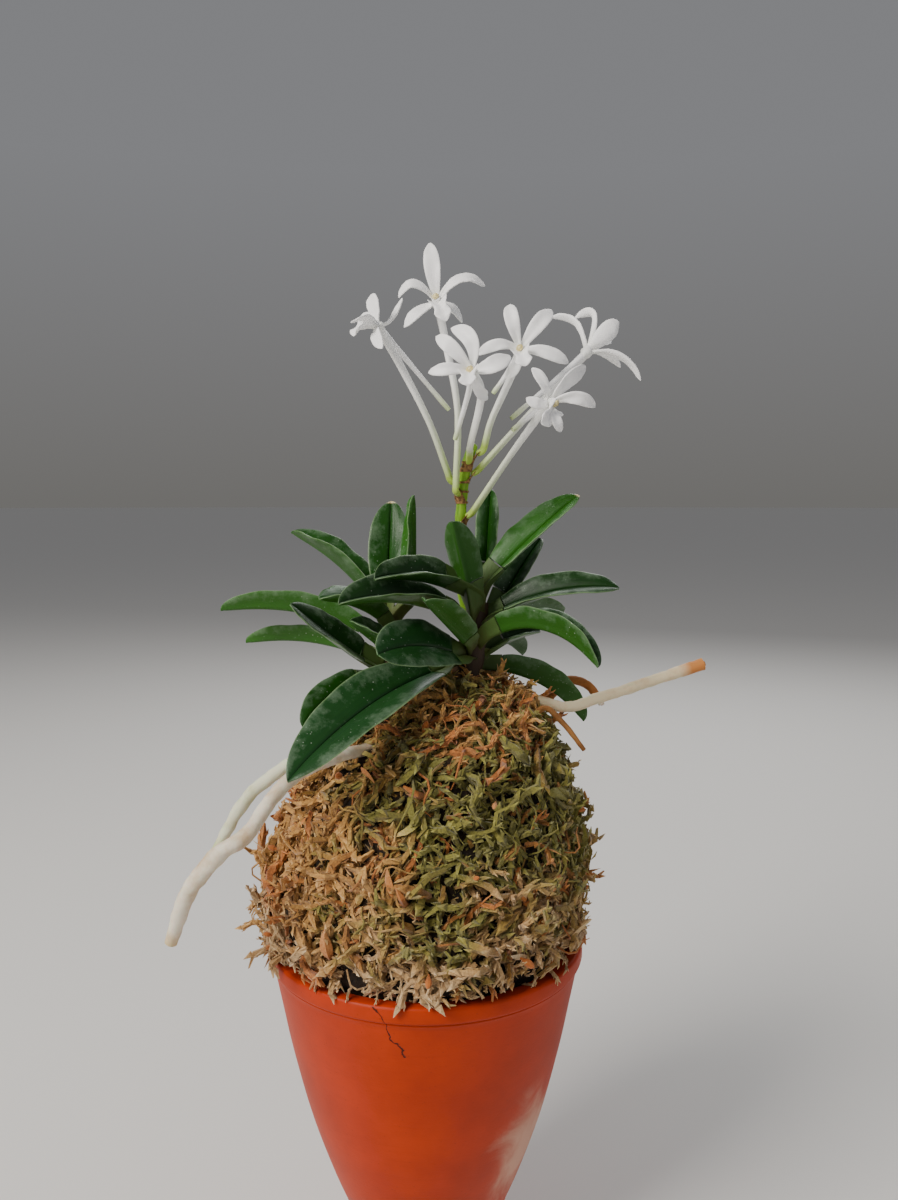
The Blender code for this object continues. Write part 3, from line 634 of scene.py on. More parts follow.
@dataclass(frozen=True)
class CrystallinePetal:
    """A fleshy white tepal: matt white with a faint sparkle from its swollen cells, a cream
    anther cap, and lime green at the foot of the flower's own stalk."""

    white: str = "#ffffff"
    shade: str = "#e6ead8"
    lime: str = "#a9c455"
    cream: str = "#f0e2a8"
    # The real cells are far finer: they are drawn as coarse as they need to show.
    cell_mm: float = 0.9

    def material(self) -> Material:
        """Build the petal's material, which reads how green and how cream a point is.

        Returns:
            The material.
        """
        petal = Surface("tepal_fleshy_white", Roughness=0.42, IOR=1.4)
        lime, cream = (petal.add(CHANNEL, out="Fac", attribute_name=name)
                       for name in ("lime", "cream"))
        colour = petal.add(RAMP, {"Fac": lime}, stops=(
            (0.0, self.white), (0.35, self.shade), (1.0, self.lime)))
        cells = petal.add(CELLS, petal.pattern(self.cell_mm), "Distance")
        colour = petal.add(MIX, {0: cream, 6: colour, 7: linear(self.cream)}, 2,
                           data_type="RGBA")
        return petal.done(colour, cells, 0.03, 0.25, invert=True)


def smooth_route(points: list[Point] | tuple[Point, ...], steps: int) -> list[Vector]:
    """Run a smooth line through points.

    Args:
        points: The points.
        steps: The number of steps between each pair.

    Returns:
        The line's points.
    """
    points = [Vector(point) for point in points]
    ends = [points[0] * 2 - points[1], *points, points[-1] * 2 - points[-2]]
    line = []
    for before, start, end, after in zip(ends, ends[1:], ends[2:], ends[3:]):
        for step in range(steps):
            t = step / steps
            line.append(0.5 * (2 * start + (end - before) * t
                               + (2 * before - 5 * start + 4 * end - after) * t ** 2
                               + (3 * start - before - 3 * end + after) * t ** 3))
    return [*line, points[-1]]


def point_at_height(route: tuple[Point, ...], height: float) -> Vector:
    """Find a place on a smooth line that rises.

    Args:
        route: The line's points, from the lowest up.
        height: The height wanted.

    Returns:
        The line's point at that height, or its nearer end.
    """
    line = smooth_route(route, 3)
    for low, high in zip(line, line[1:]):
        if low.z <= height <= high.z:
            return low.lerp(high, (height - low.z) / (high.z - low.z))
    return line[0].copy() if height < line[0].z else line[-1].copy()


def spread(values: tuple[float, ...], steps: int) -> list[float]:
    """Fill in even steps between values.

    Args:
        values: The values.
        steps: The number of steps between each pair.

    Returns:
        All of them in order.
    """
    filled = [a + (b - a) * step / steps
              for a, b in zip(values, values[1:]) for step in range(steps)]
    return [*filled, values[-1]]


def direction(heading: float, pitch: float) -> Vector:
    """Return the unit direction of a heading and a pitch in degrees."""
    a, p = math.radians(heading), math.radians(pitch)
    return Vector((math.cos(a) * math.cos(p), math.sin(a) * math.cos(p), math.sin(p)))


def level_ring(radius: float, height: float, count: int) -> list[Vector]:
    """Return even points round the Z axis."""
    turns = [math.tau * k / count for k in range(count)]
    return [Vector((radius * math.cos(turn), radius * math.sin(turn), height)) for turn in turns]


def bell(x: float, width: float) -> float:
    """Return a smooth bump of height 1 at 0 and this width."""
    return math.exp(-(x / width) ** 2)


def put_in_scene(name: str, data: bpy.types.ID) -> bpy.types.Object:
    """Put a new object in the scene.

    Args:
        name: The object's name.
        data: Its mesh, lamp or camera.

    Returns:
        The object, at the origin.
    """
    body = bpy.data.objects.new(name, data)
    bpy.context.scene.collection.objects.link(body)
    return body


def plain_mesh(name: str, shape: bmesh.types.BMesh) -> bpy.types.Mesh:
    """Turn an edited shape into a mesh, and free it.

    Args:
        name: The mesh's name.
        shape: The edited shape.

    Returns:
        The mesh.
    """
    mesh = bpy.data.meshes.new(name)
    shape.to_mesh(mesh)
    shape.free()
    return mesh


def evaluated_mesh(body: bpy.types.Object) -> bpy.types.Mesh:
    """Make a plain mesh of an object with its modifiers applied.

    Args:
        body: The object.

    Returns:
        The new mesh.
    """
    bpy.context.view_layer.update()
    graph = bpy.context.evaluated_depsgraph_get()
    return bpy.data.meshes.new_from_object(body.evaluated_get(graph))


def hand_in(piece: bpy.types.Object, slot: Slot, *nodes: str) -> None:
    """Let a finished piece ride with the plant, and name its slot and the nodes it stands for.

    Args:
        piece: The finished piece.
        slot: The record's slot of its finish.
        nodes: The solids that it stands for.
    """
    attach(piece, BODY)
    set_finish(piece, slot.value)
    if nodes:
        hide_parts(*nodes)
    triangles = sum(len(face.vertices) - 2 for face in piece.data.polygons)
    LOG.info("%s: %d triangles, stands for %s", piece.name, triangles, ", ".join(nodes) or "none")


class Shell:
    """Closed surfaces gathered into one mesh, with named values on their points."""

    # How far in and how far on each ring of a tube's rounded end lies, as shares of its radius.
    CAPS = ((0.8, 0.55), (0.45, 0.85))
    # How many swellings of a rough skin there are to a millimetre, and their strength.
    SWELLINGS = ((0.35, 1.0), (1.3, 0.5))

    def __init__(self, *channels: str) -> None:
        """Start an empty shell with these named values."""
        self.points: list[Vector] = []
        self.faces: list[tuple[int, ...]] = []
        self.values: dict[str, list[float]] = {name: [] for name in channels}

    def add(self, place: Vector, **values: float) -> int:
        """Add a point.

        Args:
            place: Its place in millimetres.
            values: Its named values, each 0 where it isn't given.

        Returns:
            Its number.
        """
        self.points.append(place)
        for name, column in self.values.items():
            column.append(values.get(name, 0.0))
        return len(self.points) - 1

    def loft(self, rings: list[list[Vector]], values: list[Values | list[Values]] = ()) -> None:
        """Add a closed surface through rings of equal count, with a pole at each end.

        Args:
            rings: The rings of points, first to last.
            values: The named values of each ring, or of each point of each ring.
        """
        count = len(rings[0])
        rows = [row if isinstance(row, list) else [row] * count
                for row in values or [{}] * len(rings)]
        numbers = [[self.add(place, **value) for place, value in zip(ring, row)]
                   for ring, row in zip(rings, rows)]
        for low, high in zip(numbers, numbers[1:]):
            for i in range(count):
                j = (i + 1) % count
                self.faces.append((low[i], low[j], high[j], high[i]))
        for end in (0, -1):
            pole = self.add(sum(rings[end], Vector()) / count, **rows[end][0])
            chosen = numbers[end]
            self.faces += [(chosen[i], chosen[(i + 1) % count], pole) for i in range(count)]

    def tube(self, line: list[Vector], radii: list[float], sides: int,
             values: list[Values] = (), ridges: tuple[int, float, float] = (0, 0.0, 0.0),
             rough: float = 0.0) -> None:
        """Add a closed round tube along a line, with rounded ends.

        Args:
            line: The tube's centre line.
            radii: The radius at each point of the line.
            sides: The number of points round the tube.
            values: The named values at each point of the line.
            ridges: The number of lengthwise ridges, their share of the radius, and their twist
                in turns along the tube.
            rough: The share of the radius by which the skin swells and shrinks.
        """
        across = (line[1] - line[0]).orthogonal().normalized()
        rings = []
        rows = list(values or [{}] * len(line))
        last = len(line) - 1
        number, height, twist = ridges
        for i, (centre, radius) in enumerate(zip(line, radii)):
            along = (line[min(last, i + 1)] - line[max(0, i - 1)]).normalized()
            across = (across - along * across.dot(along)).normalized()
            beside = along.cross(across)
            ring = []
            for k in range(sides):
                turn = math.tau * k / sides
                out = across * math.cos(turn) + beside * math.sin(turn)
                swell = 1.0 + height * math.cos(number * turn + math.tau * twist * i / last)
                for fine, share in self.SWELLINGS if rough else ():
                    swell += rough * share * noise.noise((centre + out * radius) * fine)
                ring.append(centre + out * radius * swell)
            rings.append(ring)
        for end, inward in ((0, 1), (last, -1)):
            tip = line[end]
            back = (line[end + inward] - tip).normalized()
            made = [[tip + (place - tip) * share - back * radii[end] * rise
                     for place in rings[end]] for share, rise in self.CAPS]
            extra = [rows[end]] * len(made)
            rings = made[::-1] + rings if end == 0 else rings + made
            rows = extra + rows if end == 0 else rows + extra
        self.loft(rings, rows)

    def mesh(self, name: str) -> bpy.types.Mesh:
        """Turn the shell into a mesh in metres, with its named values and its faces outwards.

        Args:
            name: The mesh's name.

        Returns:
            The mesh.
        """
        mesh = bpy.data.meshes.new(name)
        mesh.from_pydata([place * MM for place in self.points], [], self.faces)
        for channel, column in self.values.items():
            attribute = mesh.attributes.new(channel, "FLOAT", "POINT")
            attribute.data.foreach_set("value", np.array(column, np.float32))
        shell = bmesh.new()
        shell.from_mesh(mesh)
        bmesh.ops.recalc_face_normals(shell, faces=shell.faces)
        shell.to_mesh(mesh)
        shell.free()
        return mesh

    def build(self, name: str, material: Material, sharp: float = 60.0) -> bpy.types.Object:
        """Turn the shell into a smooth object.

        Args:
            name: The object's name.
            material: Its finish.
            sharp: The angle in degrees above which an edge stays crisp.

        Returns:
            The object, at the origin.
        """
        mesh = self.mesh(name)
        mesh.materials.append(material)
        mesh.shade_smooth()
        mesh.set_sharp_from_angle(angle=math.radians(sharp))
        return put_in_scene(name, mesh)


@dataclass
class Pot:
    """The turned pot: a tapering wall with a rounded lip, a rim band, a groove and drain holes."""

    height: float = 98.0
    rim_radius: float = 42.0
    outline: tuple = ((0, 16.5), (10, 17.9), (22, 21.2), (36, 26.6), (52, 31.9), (70, 36.4),
                      (84, 39.2), (92.6, 40.9), (98, 42.0))
    wall: float = 4.0
    floor: float = 5.0
    foot_edge: float = 1.0
    band: float = 4.2
    groove: float = 0.6
    lip: float = 1.0
    lip_steps: int = 6
    drain_radius: float = 1.9
    drain_circle: float = 7.0
    drain_count: int = 3
    turns: int = 160
    crisp_angle: float = 40.0
    finish: Terracotta = field(default_factory=Terracotta)

    def radius(self, height: float) -> float:
        """Find the wall's outer radius on a smooth line through the outline.

        Args:
            height: The height above the foot.

        Returns:
            The radius.
        """
        line = smooth_route([(radius, 0, z) for z, radius in self.outline], 8)
        for low, high in zip(line, line[1:]):
            if height <= high.z:
                share = (height - low.z) / (high.z - low.z)
                return low.x + (high.x - low.x) * share
        return self.rim_radius

    def profile(self) -> list[tuple[float, float]]:
        """Draw the wall's outline, from the middle of the foot up, over the lip and down.

        Returns:
            The radius and the height of each point.
        """
        rim = self.rim_radius
        band = self.height - self.band
        depth = self.groove
        edge = self.foot_edge
        bends = [math.pi / 2 * step / self.lip_steps for step in range(self.lip_steps + 1)]
        foot = [(6.0, 0.0), (12.0, 0.0)]
        foot += [(self.radius(0) - edge + math.sin(a) * edge, edge - math.cos(a) * edge)
                 for a in (0.0, 0.5, 1.0, math.pi / 2)]
        outer = [(self.radius(z), z) for z in np.linspace(2.5, band - 2.2, 40)]
        groove = [(self.radius(band - 1.4) - 0.05, band - 1.4),
                  (rim - depth - 0.25, band - 0.75), (rim - depth - 0.35, band - 0.35),
                  (rim - depth * 0.6, band), (rim - 0.1, band + 0.25), (rim, band + 0.7),
                  (rim, self.height - self.lip)]
        lip = [(rim - self.lip * (1 - math.cos(a)), self.height - self.lip * (1 - math.sin(a)))
               for a in bends[1:]]
        lip += [(rim - self.wall + self.lip * (1 - math.sin(a)),
                 self.height - self.lip * (1 - math.cos(a))) for a in bends]
        inner = [(self.radius(z) - self.wall, z) for z in np.linspace(92, self.floor + 2, 24)]
        inner += [(self.radius(self.floor) - self.wall - 1.5, self.floor), (6.0, self.floor)]
        return foot + outer + groove + lip + inner

    def build(self) -> None:
        """Turn the pot and drill its drain holes."""
        shell = Shell()
        shell.loft([level_ring(radius, height, self.turns) for radius, height in self.profile()])
        pot = shell.build("pot_body", self.finish.material(), self.crisp_angle)
        drills = []
        for number in range(self.drain_count):
            angle = math.tau * number / self.drain_count
            cone = bmesh.new()
            bmesh.ops.create_cone(cone, cap_ends=True, segments=32, depth=4 * self.floor * MM,
                                  radius1=self.drain_radius * MM, radius2=self.drain_radius * MM)
            drill = put_in_scene(f"drill_{number}", plain_mesh("drill", cone))
            drill.location = Vector((math.cos(angle), math.sin(angle), 0)) * self.drain_circle * MM
            hole = pot.modifiers.new("drain_hole", "BOOLEAN")
            hole.operation = "DIFFERENCE"
            hole.object = drill
            drills.append(drill)
        mesh = evaluated_mesh(pot)
        pot.modifiers.clear()
        pot.data = mesh
        for drill in drills:
            bpy.data.objects.remove(drill, do_unlink=True)
        hand_in(pot, Slot.POT, "pot")


LEAF_WIDEST = 0.45
LEAF_BASE = 0.55
LEAF_RINGS = 46
LEAF_STEPS = 24
# Places from the margin, 1, to beside the midrib, closer together at both.
ACROSS = (1.0, 0.975, 0.9, 0.75, 0.56, 0.36, 0.2, 0.1, 0.045, 0.018)


@dataclass(frozen=True)
class Leaf:
    """One leaf: its midrib starts at a place, rises at an angle and droops along its length,
    and each half folds up from it by an angle at the base and another at the tip."""

    name: str
    at: Point
    heading: float
    rise: float
    droop: float
    length: float
    width: float
    roll: float
    fold: Span
    start: float
    tone: Tone = Tone.DEEP
    scarred: float = 0.0
    point: float = 0.58
    thickness: float = 1.1

    def midrib(self, u: float) -> Vector:
        """Follow the midrib.

        Args:
            u: How far along the leaf, from 0 to 1.

        Returns:
            The point there.
        """
        point = Vector(self.at)
        for step in range(LEAF_STEPS):
            middle = u * (step + 0.5) / LEAF_STEPS
            point += direction(self.heading, self.rise - self.droop * middle) * (
                self.length * u / LEAF_STEPS)
        return point

    def axes(self, u: float) -> tuple[Vector, Vector]:
        """Find how the blade lies.

        Args:
            u: How far along the leaf, from 0 to 1.

        Returns:
            Its sideways and upward directions.
        """
        along = direction(self.heading, self.rise - self.droop * u)
        level = direction(self.heading + 90, 0)
        above = along.cross(level)
        roll = math.radians(self.roll)
        side = math.cos(roll) * level + math.sin(roll) * above
        return side, math.cos(roll) * above - math.sin(roll) * level

    def bend(self, u: float) -> float:
        """Return how far each half folds up at u along the leaf, in radians."""
        return math.radians(self.fold[0] * (1 - u) + self.fold[1] * u)

    def reach(self, u: float) -> float:
        """Find how wide the blade is.

        Args:
            u: How far along the leaf, from 0 to 1.

        Returns:
            Half its width.
        """
        if u < LEAF_WIDEST:
            share = LEAF_BASE + (1 - LEAF_BASE) * math.sin(math.pi / 2 * u / LEAF_WIDEST)
        else:
            share = max(0.0, 1 - ((u - LEAF_WIDEST) / (1 - LEAF_WIDEST)) ** 2.4) ** self.point
        return share * self.width / 2

    def section(self, centre: Vector, side: Vector, up: Vector, reach: float, fold: float,
                body: float) -> list[tuple[Vector, float, float]]:
        """Draw a cut through the blade, with a groove over the midrib and a keel under it.

        Args:
            centre: The midrib's place.
            side: The direction across the blade.
            up: The direction that its upper face looks.
            reach: Half its width.
            fold: Each half's angle above flat, in radians.
            body: Its thickness.

        Returns:
            Each point with its place across the blade and 1 on the upper face, 0 below.
        """
        spots = [*[-v for v in ACROSS], 0.0, *reversed(ACROSS)]
        outline = []
        for upper in (1.0, 0.0):
            for v in spots if upper else spots[-2:0:-1]:
                lean = math.tanh(v / 0.1)
                normal = (up * math.cos(fold) - side * lean * math.sin(fold)).normalized()
                place = centre + reach * (side * v * math.cos(fold)
                                          + up * abs(v) * math.sin(fold))
                half = 0.5 * body * (1 - abs(v) ** 5) ** 0.5 * (1 - 0.25 * abs(v))
                if upper:
                    lift = half + 0.16 * body * math.sin(math.pi * abs(v))
                    lift -= 0.3 * body * bell(v * reach, 0.28)
                else:
                    lift = -half - 0.35 * body * bell(v * reach, 0.6)
                outline.append((place + normal * lift, v, upper))
        return outline

    def blade(self, material: Material) -> None:
        """Make the blade, from where it leaves its sheath to its tip.

        Args:
            material: The leaf's finish.
        """
        shell = Shell("along", "across", "upper", "tone", "scar")
        first = self.start / self.length
        seed = Vector((sum(map(ord, self.name)) * 0.37, 0, 0))
        rings = []
        rows = []
        for i in range(LEAF_RINGS):
            s = i / (LEAF_RINGS - 1)
            u = first + (1 - first) * (1 - (1 - s) ** 1.8) * 0.9995
            side, up = self.axes(u)
            body = self.thickness * (1.12 - 0.3 * u) * max(0.25, 1 - u ** 14) ** 0.5
            wave = noise.noise(seed + Vector((0, u * 3.2, 0)))
            reach = self.reach(u) * (1 + 0.05 * noise.noise(seed + Vector((9, u * 5, 0))))
            scar = self.scarred * max(0.0, min(1.0, (u - 0.975) / 0.012))
            ring = []
            row = []
            for place, v, upper in self.section(self.midrib(u), side, up, reach, self.bend(u),
                                                body):
                edge = noise.noise(seed + Vector((4 + v * 1.5, u * 7, 2)))
                ring.append(place + up * (0.5 * wave * v + 0.55 * edge * v * v))
                row.append({"along": u, "across": v, "upper": upper, "tone": self.tone.value,
                            "scar": scar})
            rings.append(ring)
            rows.append(row)
        shell.loft(rings, rows)
        hand_in(shell.build(self.name + "_blade", material, sharp=75.0), Slot.LEAF, self.name)


MAIN_LEAVES = (
    Leaf("leaf_left_top", (11, -4, 190), 221, 27, 32, 31, 12.5, -28, (50, 38), 9, Tone.DEEP),
    Leaf("leaf_left_second", (7, -7, 185.5), 221, 23, 30, 36, 13, -25, (50, 38), 3, Tone.DEEP),
    Leaf("leaf_front_small", (11, -10, 178), 242, 31, 0, 26, 11.5, 0, (45, 30), 3, Tone.BLUE),
    Leaf("leaf_front_oval", (8, -10, 175), 233, 25, 34, 31, 14.5, -50, (20, 8), 3, Tone.BLUE,
         0.0, 0.5),
    Leaf("leaf_left_low", (4, -9, 171), 228, -4, 32, 54, 17, -22, (30, 12), 4, Tone.BLUE, 0.0,
         0.78),
    Leaf("leaf_upright_front", (12, -6, 187), 234, 71, 5, 24, 12, 25, (50, 40), 7, Tone.DEEP),
    Leaf("leaf_upright_back", (16, 8, 193), 79, 73, 5, 26, 9, 0, (50, 40), 5, Tone.GREEN),
    Leaf("leaf_right_top", (17, 1, 193), 7, 49, 10, 33, 13, 28, (40, 18), 5, Tone.FRESH, 1.0),
    Leaf("leaf_right_behind", (18, 3, 183), 47, 51, 10, 29, 10, 20, (50, 30), 8, Tone.DEEP),
    Leaf("leaf_right_level", (18, 0, 184), 349, 33, 38, 34, 11, 33, (45, 15), 4, Tone.DEEP),
    Leaf("leaf_right_arched", (17, -6, 180), 321, 31, 80, 35, 11, -12, (60, 50), 4, Tone.DEEP),
    Leaf("leaf_right_back", (18, 8, 182), 38, 21, 40, 27, 11, 0, (50, 25), 5, Tone.DEEP),
    Leaf("leaf_right_low", (16, 2, 174), 22, 33, 30, 17, 9, 25, (50, 30), 6, Tone.DEEP),
    Leaf("leaf_right_droop", (15, 5, 170), 21, -4, 50, 37, 11, -15, (55, 45), 5, Tone.DEEP),
    Leaf("leaf_back", (13, 9, 175), 59, 13, 50, 31, 10, 0, (50, 25), 4, Tone.DEEP),
)
SHOOT_LEAVES = (
    Leaf("shoot_leaf_upright_broad", (-10.5, 5, 187), 86, 70, 0, 29, 12, 0, (40, 12), 3,
         Tone.GREEN, 1.0),
    Leaf("shoot_leaf_upright_edge", (-3.5, -2, 188), 81, 83, -6, 28, 7, -60, (50, 40), 3,
         Tone.FRESH),
    Leaf("shoot_leaf_left_top", (-12, 9, 184), 163, 55, 32, 35, 12, -5, (55, 40), 6, Tone.GREEN),
    Leaf("shoot_leaf_left_long", (-14, 3, 178.5), 181, 30, 40, 42, 11, 10, (60, 50), 4,
         Tone.FRESH),
    Leaf("shoot_leaf_left_back", (-15, 6, 172.5), 167, 22, 35, 37, 9, 15, (60, 50), 4,
         Tone.FRESH),
    Leaf("shoot_leaf_left_front", (-13, -4, 171), 207, 33, -10, 29, 12, -35, (35, 15), 6,
         Tone.DEEP),
    Leaf("shoot_leaf_left_short", (-11, -5, 184), 222, 36, 35, 21, 11, -10, (45, 25), 2,
         Tone.GREEN),
    Leaf("shoot_leaf_shaded", (-6, -10, 174), 211, 38, 0, 18, 11, -20, (40, 25), 4, Tone.DEEP),
    Leaf("shoot_leaf_left_droop", (-13, -4, 167), 236, 15, 55, 30, 9.5, -25, (35, 15), 7,
         Tone.GREEN),
)


@dataclass(frozen=True)
class Shoot:
    """A short stem and the folded bases of its leaves, which wrap it one over the other."""

    name: str
    stem: tuple[Point, ...]
    radii: tuple[float, ...]
    leaves: tuple[Leaf, ...]
    lowest: float
    drop: float = 9.0
    gap: float = 0.35
    foot_reach: float = 3.1
    foot_fold: float = 68.0

    def sheath(self, shell: Shell, leaf: Leaf) -> None:
        """Add the folded base of one leaf.

        Args:
            shell: The shell that takes it.
            leaf: The leaf whose base it is.
        """
        end = (leaf.start - self.gap) / leaf.length
        base = Vector(leaf.at)
        foot = point_at_height(self.stem, max(base.z - self.drop, self.lowest))
        route = [foot, foot.lerp(base, 0.6) + Vector((0, 0, 0.5)), base, leaf.midrib(end)]
        if leaf.start < 2.5:
            route.pop(2)
        line = smooth_route(route, 7)
        last = len(line) - 1
        side, up = leaf.axes(end)
        fold_end = leaf.bend(end)
        rings = []
        rows = []
        for i, centre in enumerate(line):
            s = i / last
            along = (line[min(last, i + 1)] - line[max(0, i - 1)]).normalized()
            across = (side - along * side.dot(along)).normalized()
            above = along.cross(across)
            above = above if above.dot(up) > 0 else -above
            reach = self.foot_reach + (leaf.reach(end) - self.foot_reach) * s ** 1.5
            fold = fold_end + (math.radians(self.foot_fold) - fold_end) * (1 - s) ** 1.2
            if i == last:
                above, across = up, side
            outline = leaf.section(centre, across, above, reach, fold, 0.8 + 0.35 * s)
            rings.append([place for place, _, _ in outline])
            rows.append({"along": 0.25 + 0.75 * s})
        shell.loft(rings, rows)

    def build(self, leaf_finish: Material, sheath_finish: Material) -> None:
        """Make the stem with its sheaths, and the blades.

        Args:
            leaf_finish: The blades' material.
            sheath_finish: The material of the stem and the leaf bases.
        """
        shell = Shell("along")
        line = smooth_route(self.stem, 8)
        shell.tube(line, spread(self.radii, 8), 20, [{"along": 0.1}] * len(line), rough=0.12)
        for leaf in self.leaves:
            self.sheath(shell, leaf)
            leaf.blade(leaf_finish)
        hand_in(shell.build(self.name + "_sheaths", sheath_finish), Slot.SHEATH, self.name)


@dataclass(frozen=True)
class Root:
    """One aerial root, which starts inside the moss."""

    name: str
    route: tuple[Point, ...]
    radii: tuple[float, ...]
    finish: Velamen
    steps: int = 14

    def build(self) -> None:
        """Make the root as a tube whose skin swells and shrinks a little."""
        line = smooth_route(self.route, self.steps)
        last = len(line) - 1
        shell = Shell("along")
        shell.tube(line, spread(self.radii, self.steps), 18,
                   [{"along": i / last} for i in range(last + 1)], rough=0.16)
        hand_in(shell.build(self.name + "_skin", self.finish.material()), Slot.ROOT, self.name)


ROOTS = (
    Root("root_left_long",
         ((-13, -17, 153), (-22, -27, 153), (-32, -35, 149), (-39.5, -42, 139.5),
          (-46, -44, 135), (-53, -43, 126), (-58, -40, 113)),
         (1.6, 1.6, 1.6, 1.8, 1.95, 1.95, 1.5),
         Velamen("root_skin_chalky", "#e9e0cb", "#c3a379", "#d5bd8e", 0.95, 0.6)),
    Root("root_left_short",
         ((-16, -12, 146), (-27, -18, 152), (-38.4, -20, 146.2), (-45.5, -20, 139),
          (-52.5, -20, 126.6)),
         (1.5, 1.5, 1.6, 1.6, 1.2),
         Velamen("root_skin_greenish", "#dfe0c4", "#b9bf8c", "#c9cf9a", 0.9, 0.45)),
    Root("root_right_long",
         ((14, 3, 158), (28, 5, 160.8), (38, 6, 158.6), (48, 8, 161), (62, 9, 165.4),
          (75.9, 10, 169.8)),
         (1.4, 1.4, 1.45, 1.5, 1.5, 1.7),
         Velamen("root_skin_cream", "#e8d8b4", "#cda877", "#c98343", 0.9, 0.5)),
    Root("root_right_arched",
         ((24, 17, 146), (34, 21, 157), (40, 22, 163), (46, 22, 161.6), (50, 21, 156.5)),
         (1.2, 1.2, 1.3, 1.2, 1.1),
         Velamen("root_skin_brown", "#b9773c", "#8a4f22", "#efe6d2", 0.93, 0.7)),
    Root("root_right_thin",
         ((24, -4, 152), (30.5, -5, 160.5), (36, -5, 156.5), (41.5, -5, 149.5)),
         (0.8, 0.8, 0.75, 0.6),
         Velamen("root_skin_dry", "#a8743f", "#6f4523", "#8a5a2e", 0.9, 0.6)),
)


@dataclass(frozen=True)
class Tepal:
    """One tepal: the middle of its arc, its tip and its width."""

    middle: Point
    tip: Point
    width: float


TEPAL_RINGS = 30
TEPAL_WIDEST = 0.6
TEPAL_FOOT = 0.32
TEPAL_FULL = 0.86
LIP_LOBES = 0.3
LIP_WIDTH = 4.4
TEPAL_ACROSS = (-1.0, -0.95, -0.8, -0.55, -0.28, 0.0, 0.28, 0.55, 0.8, 0.95, 1.0)


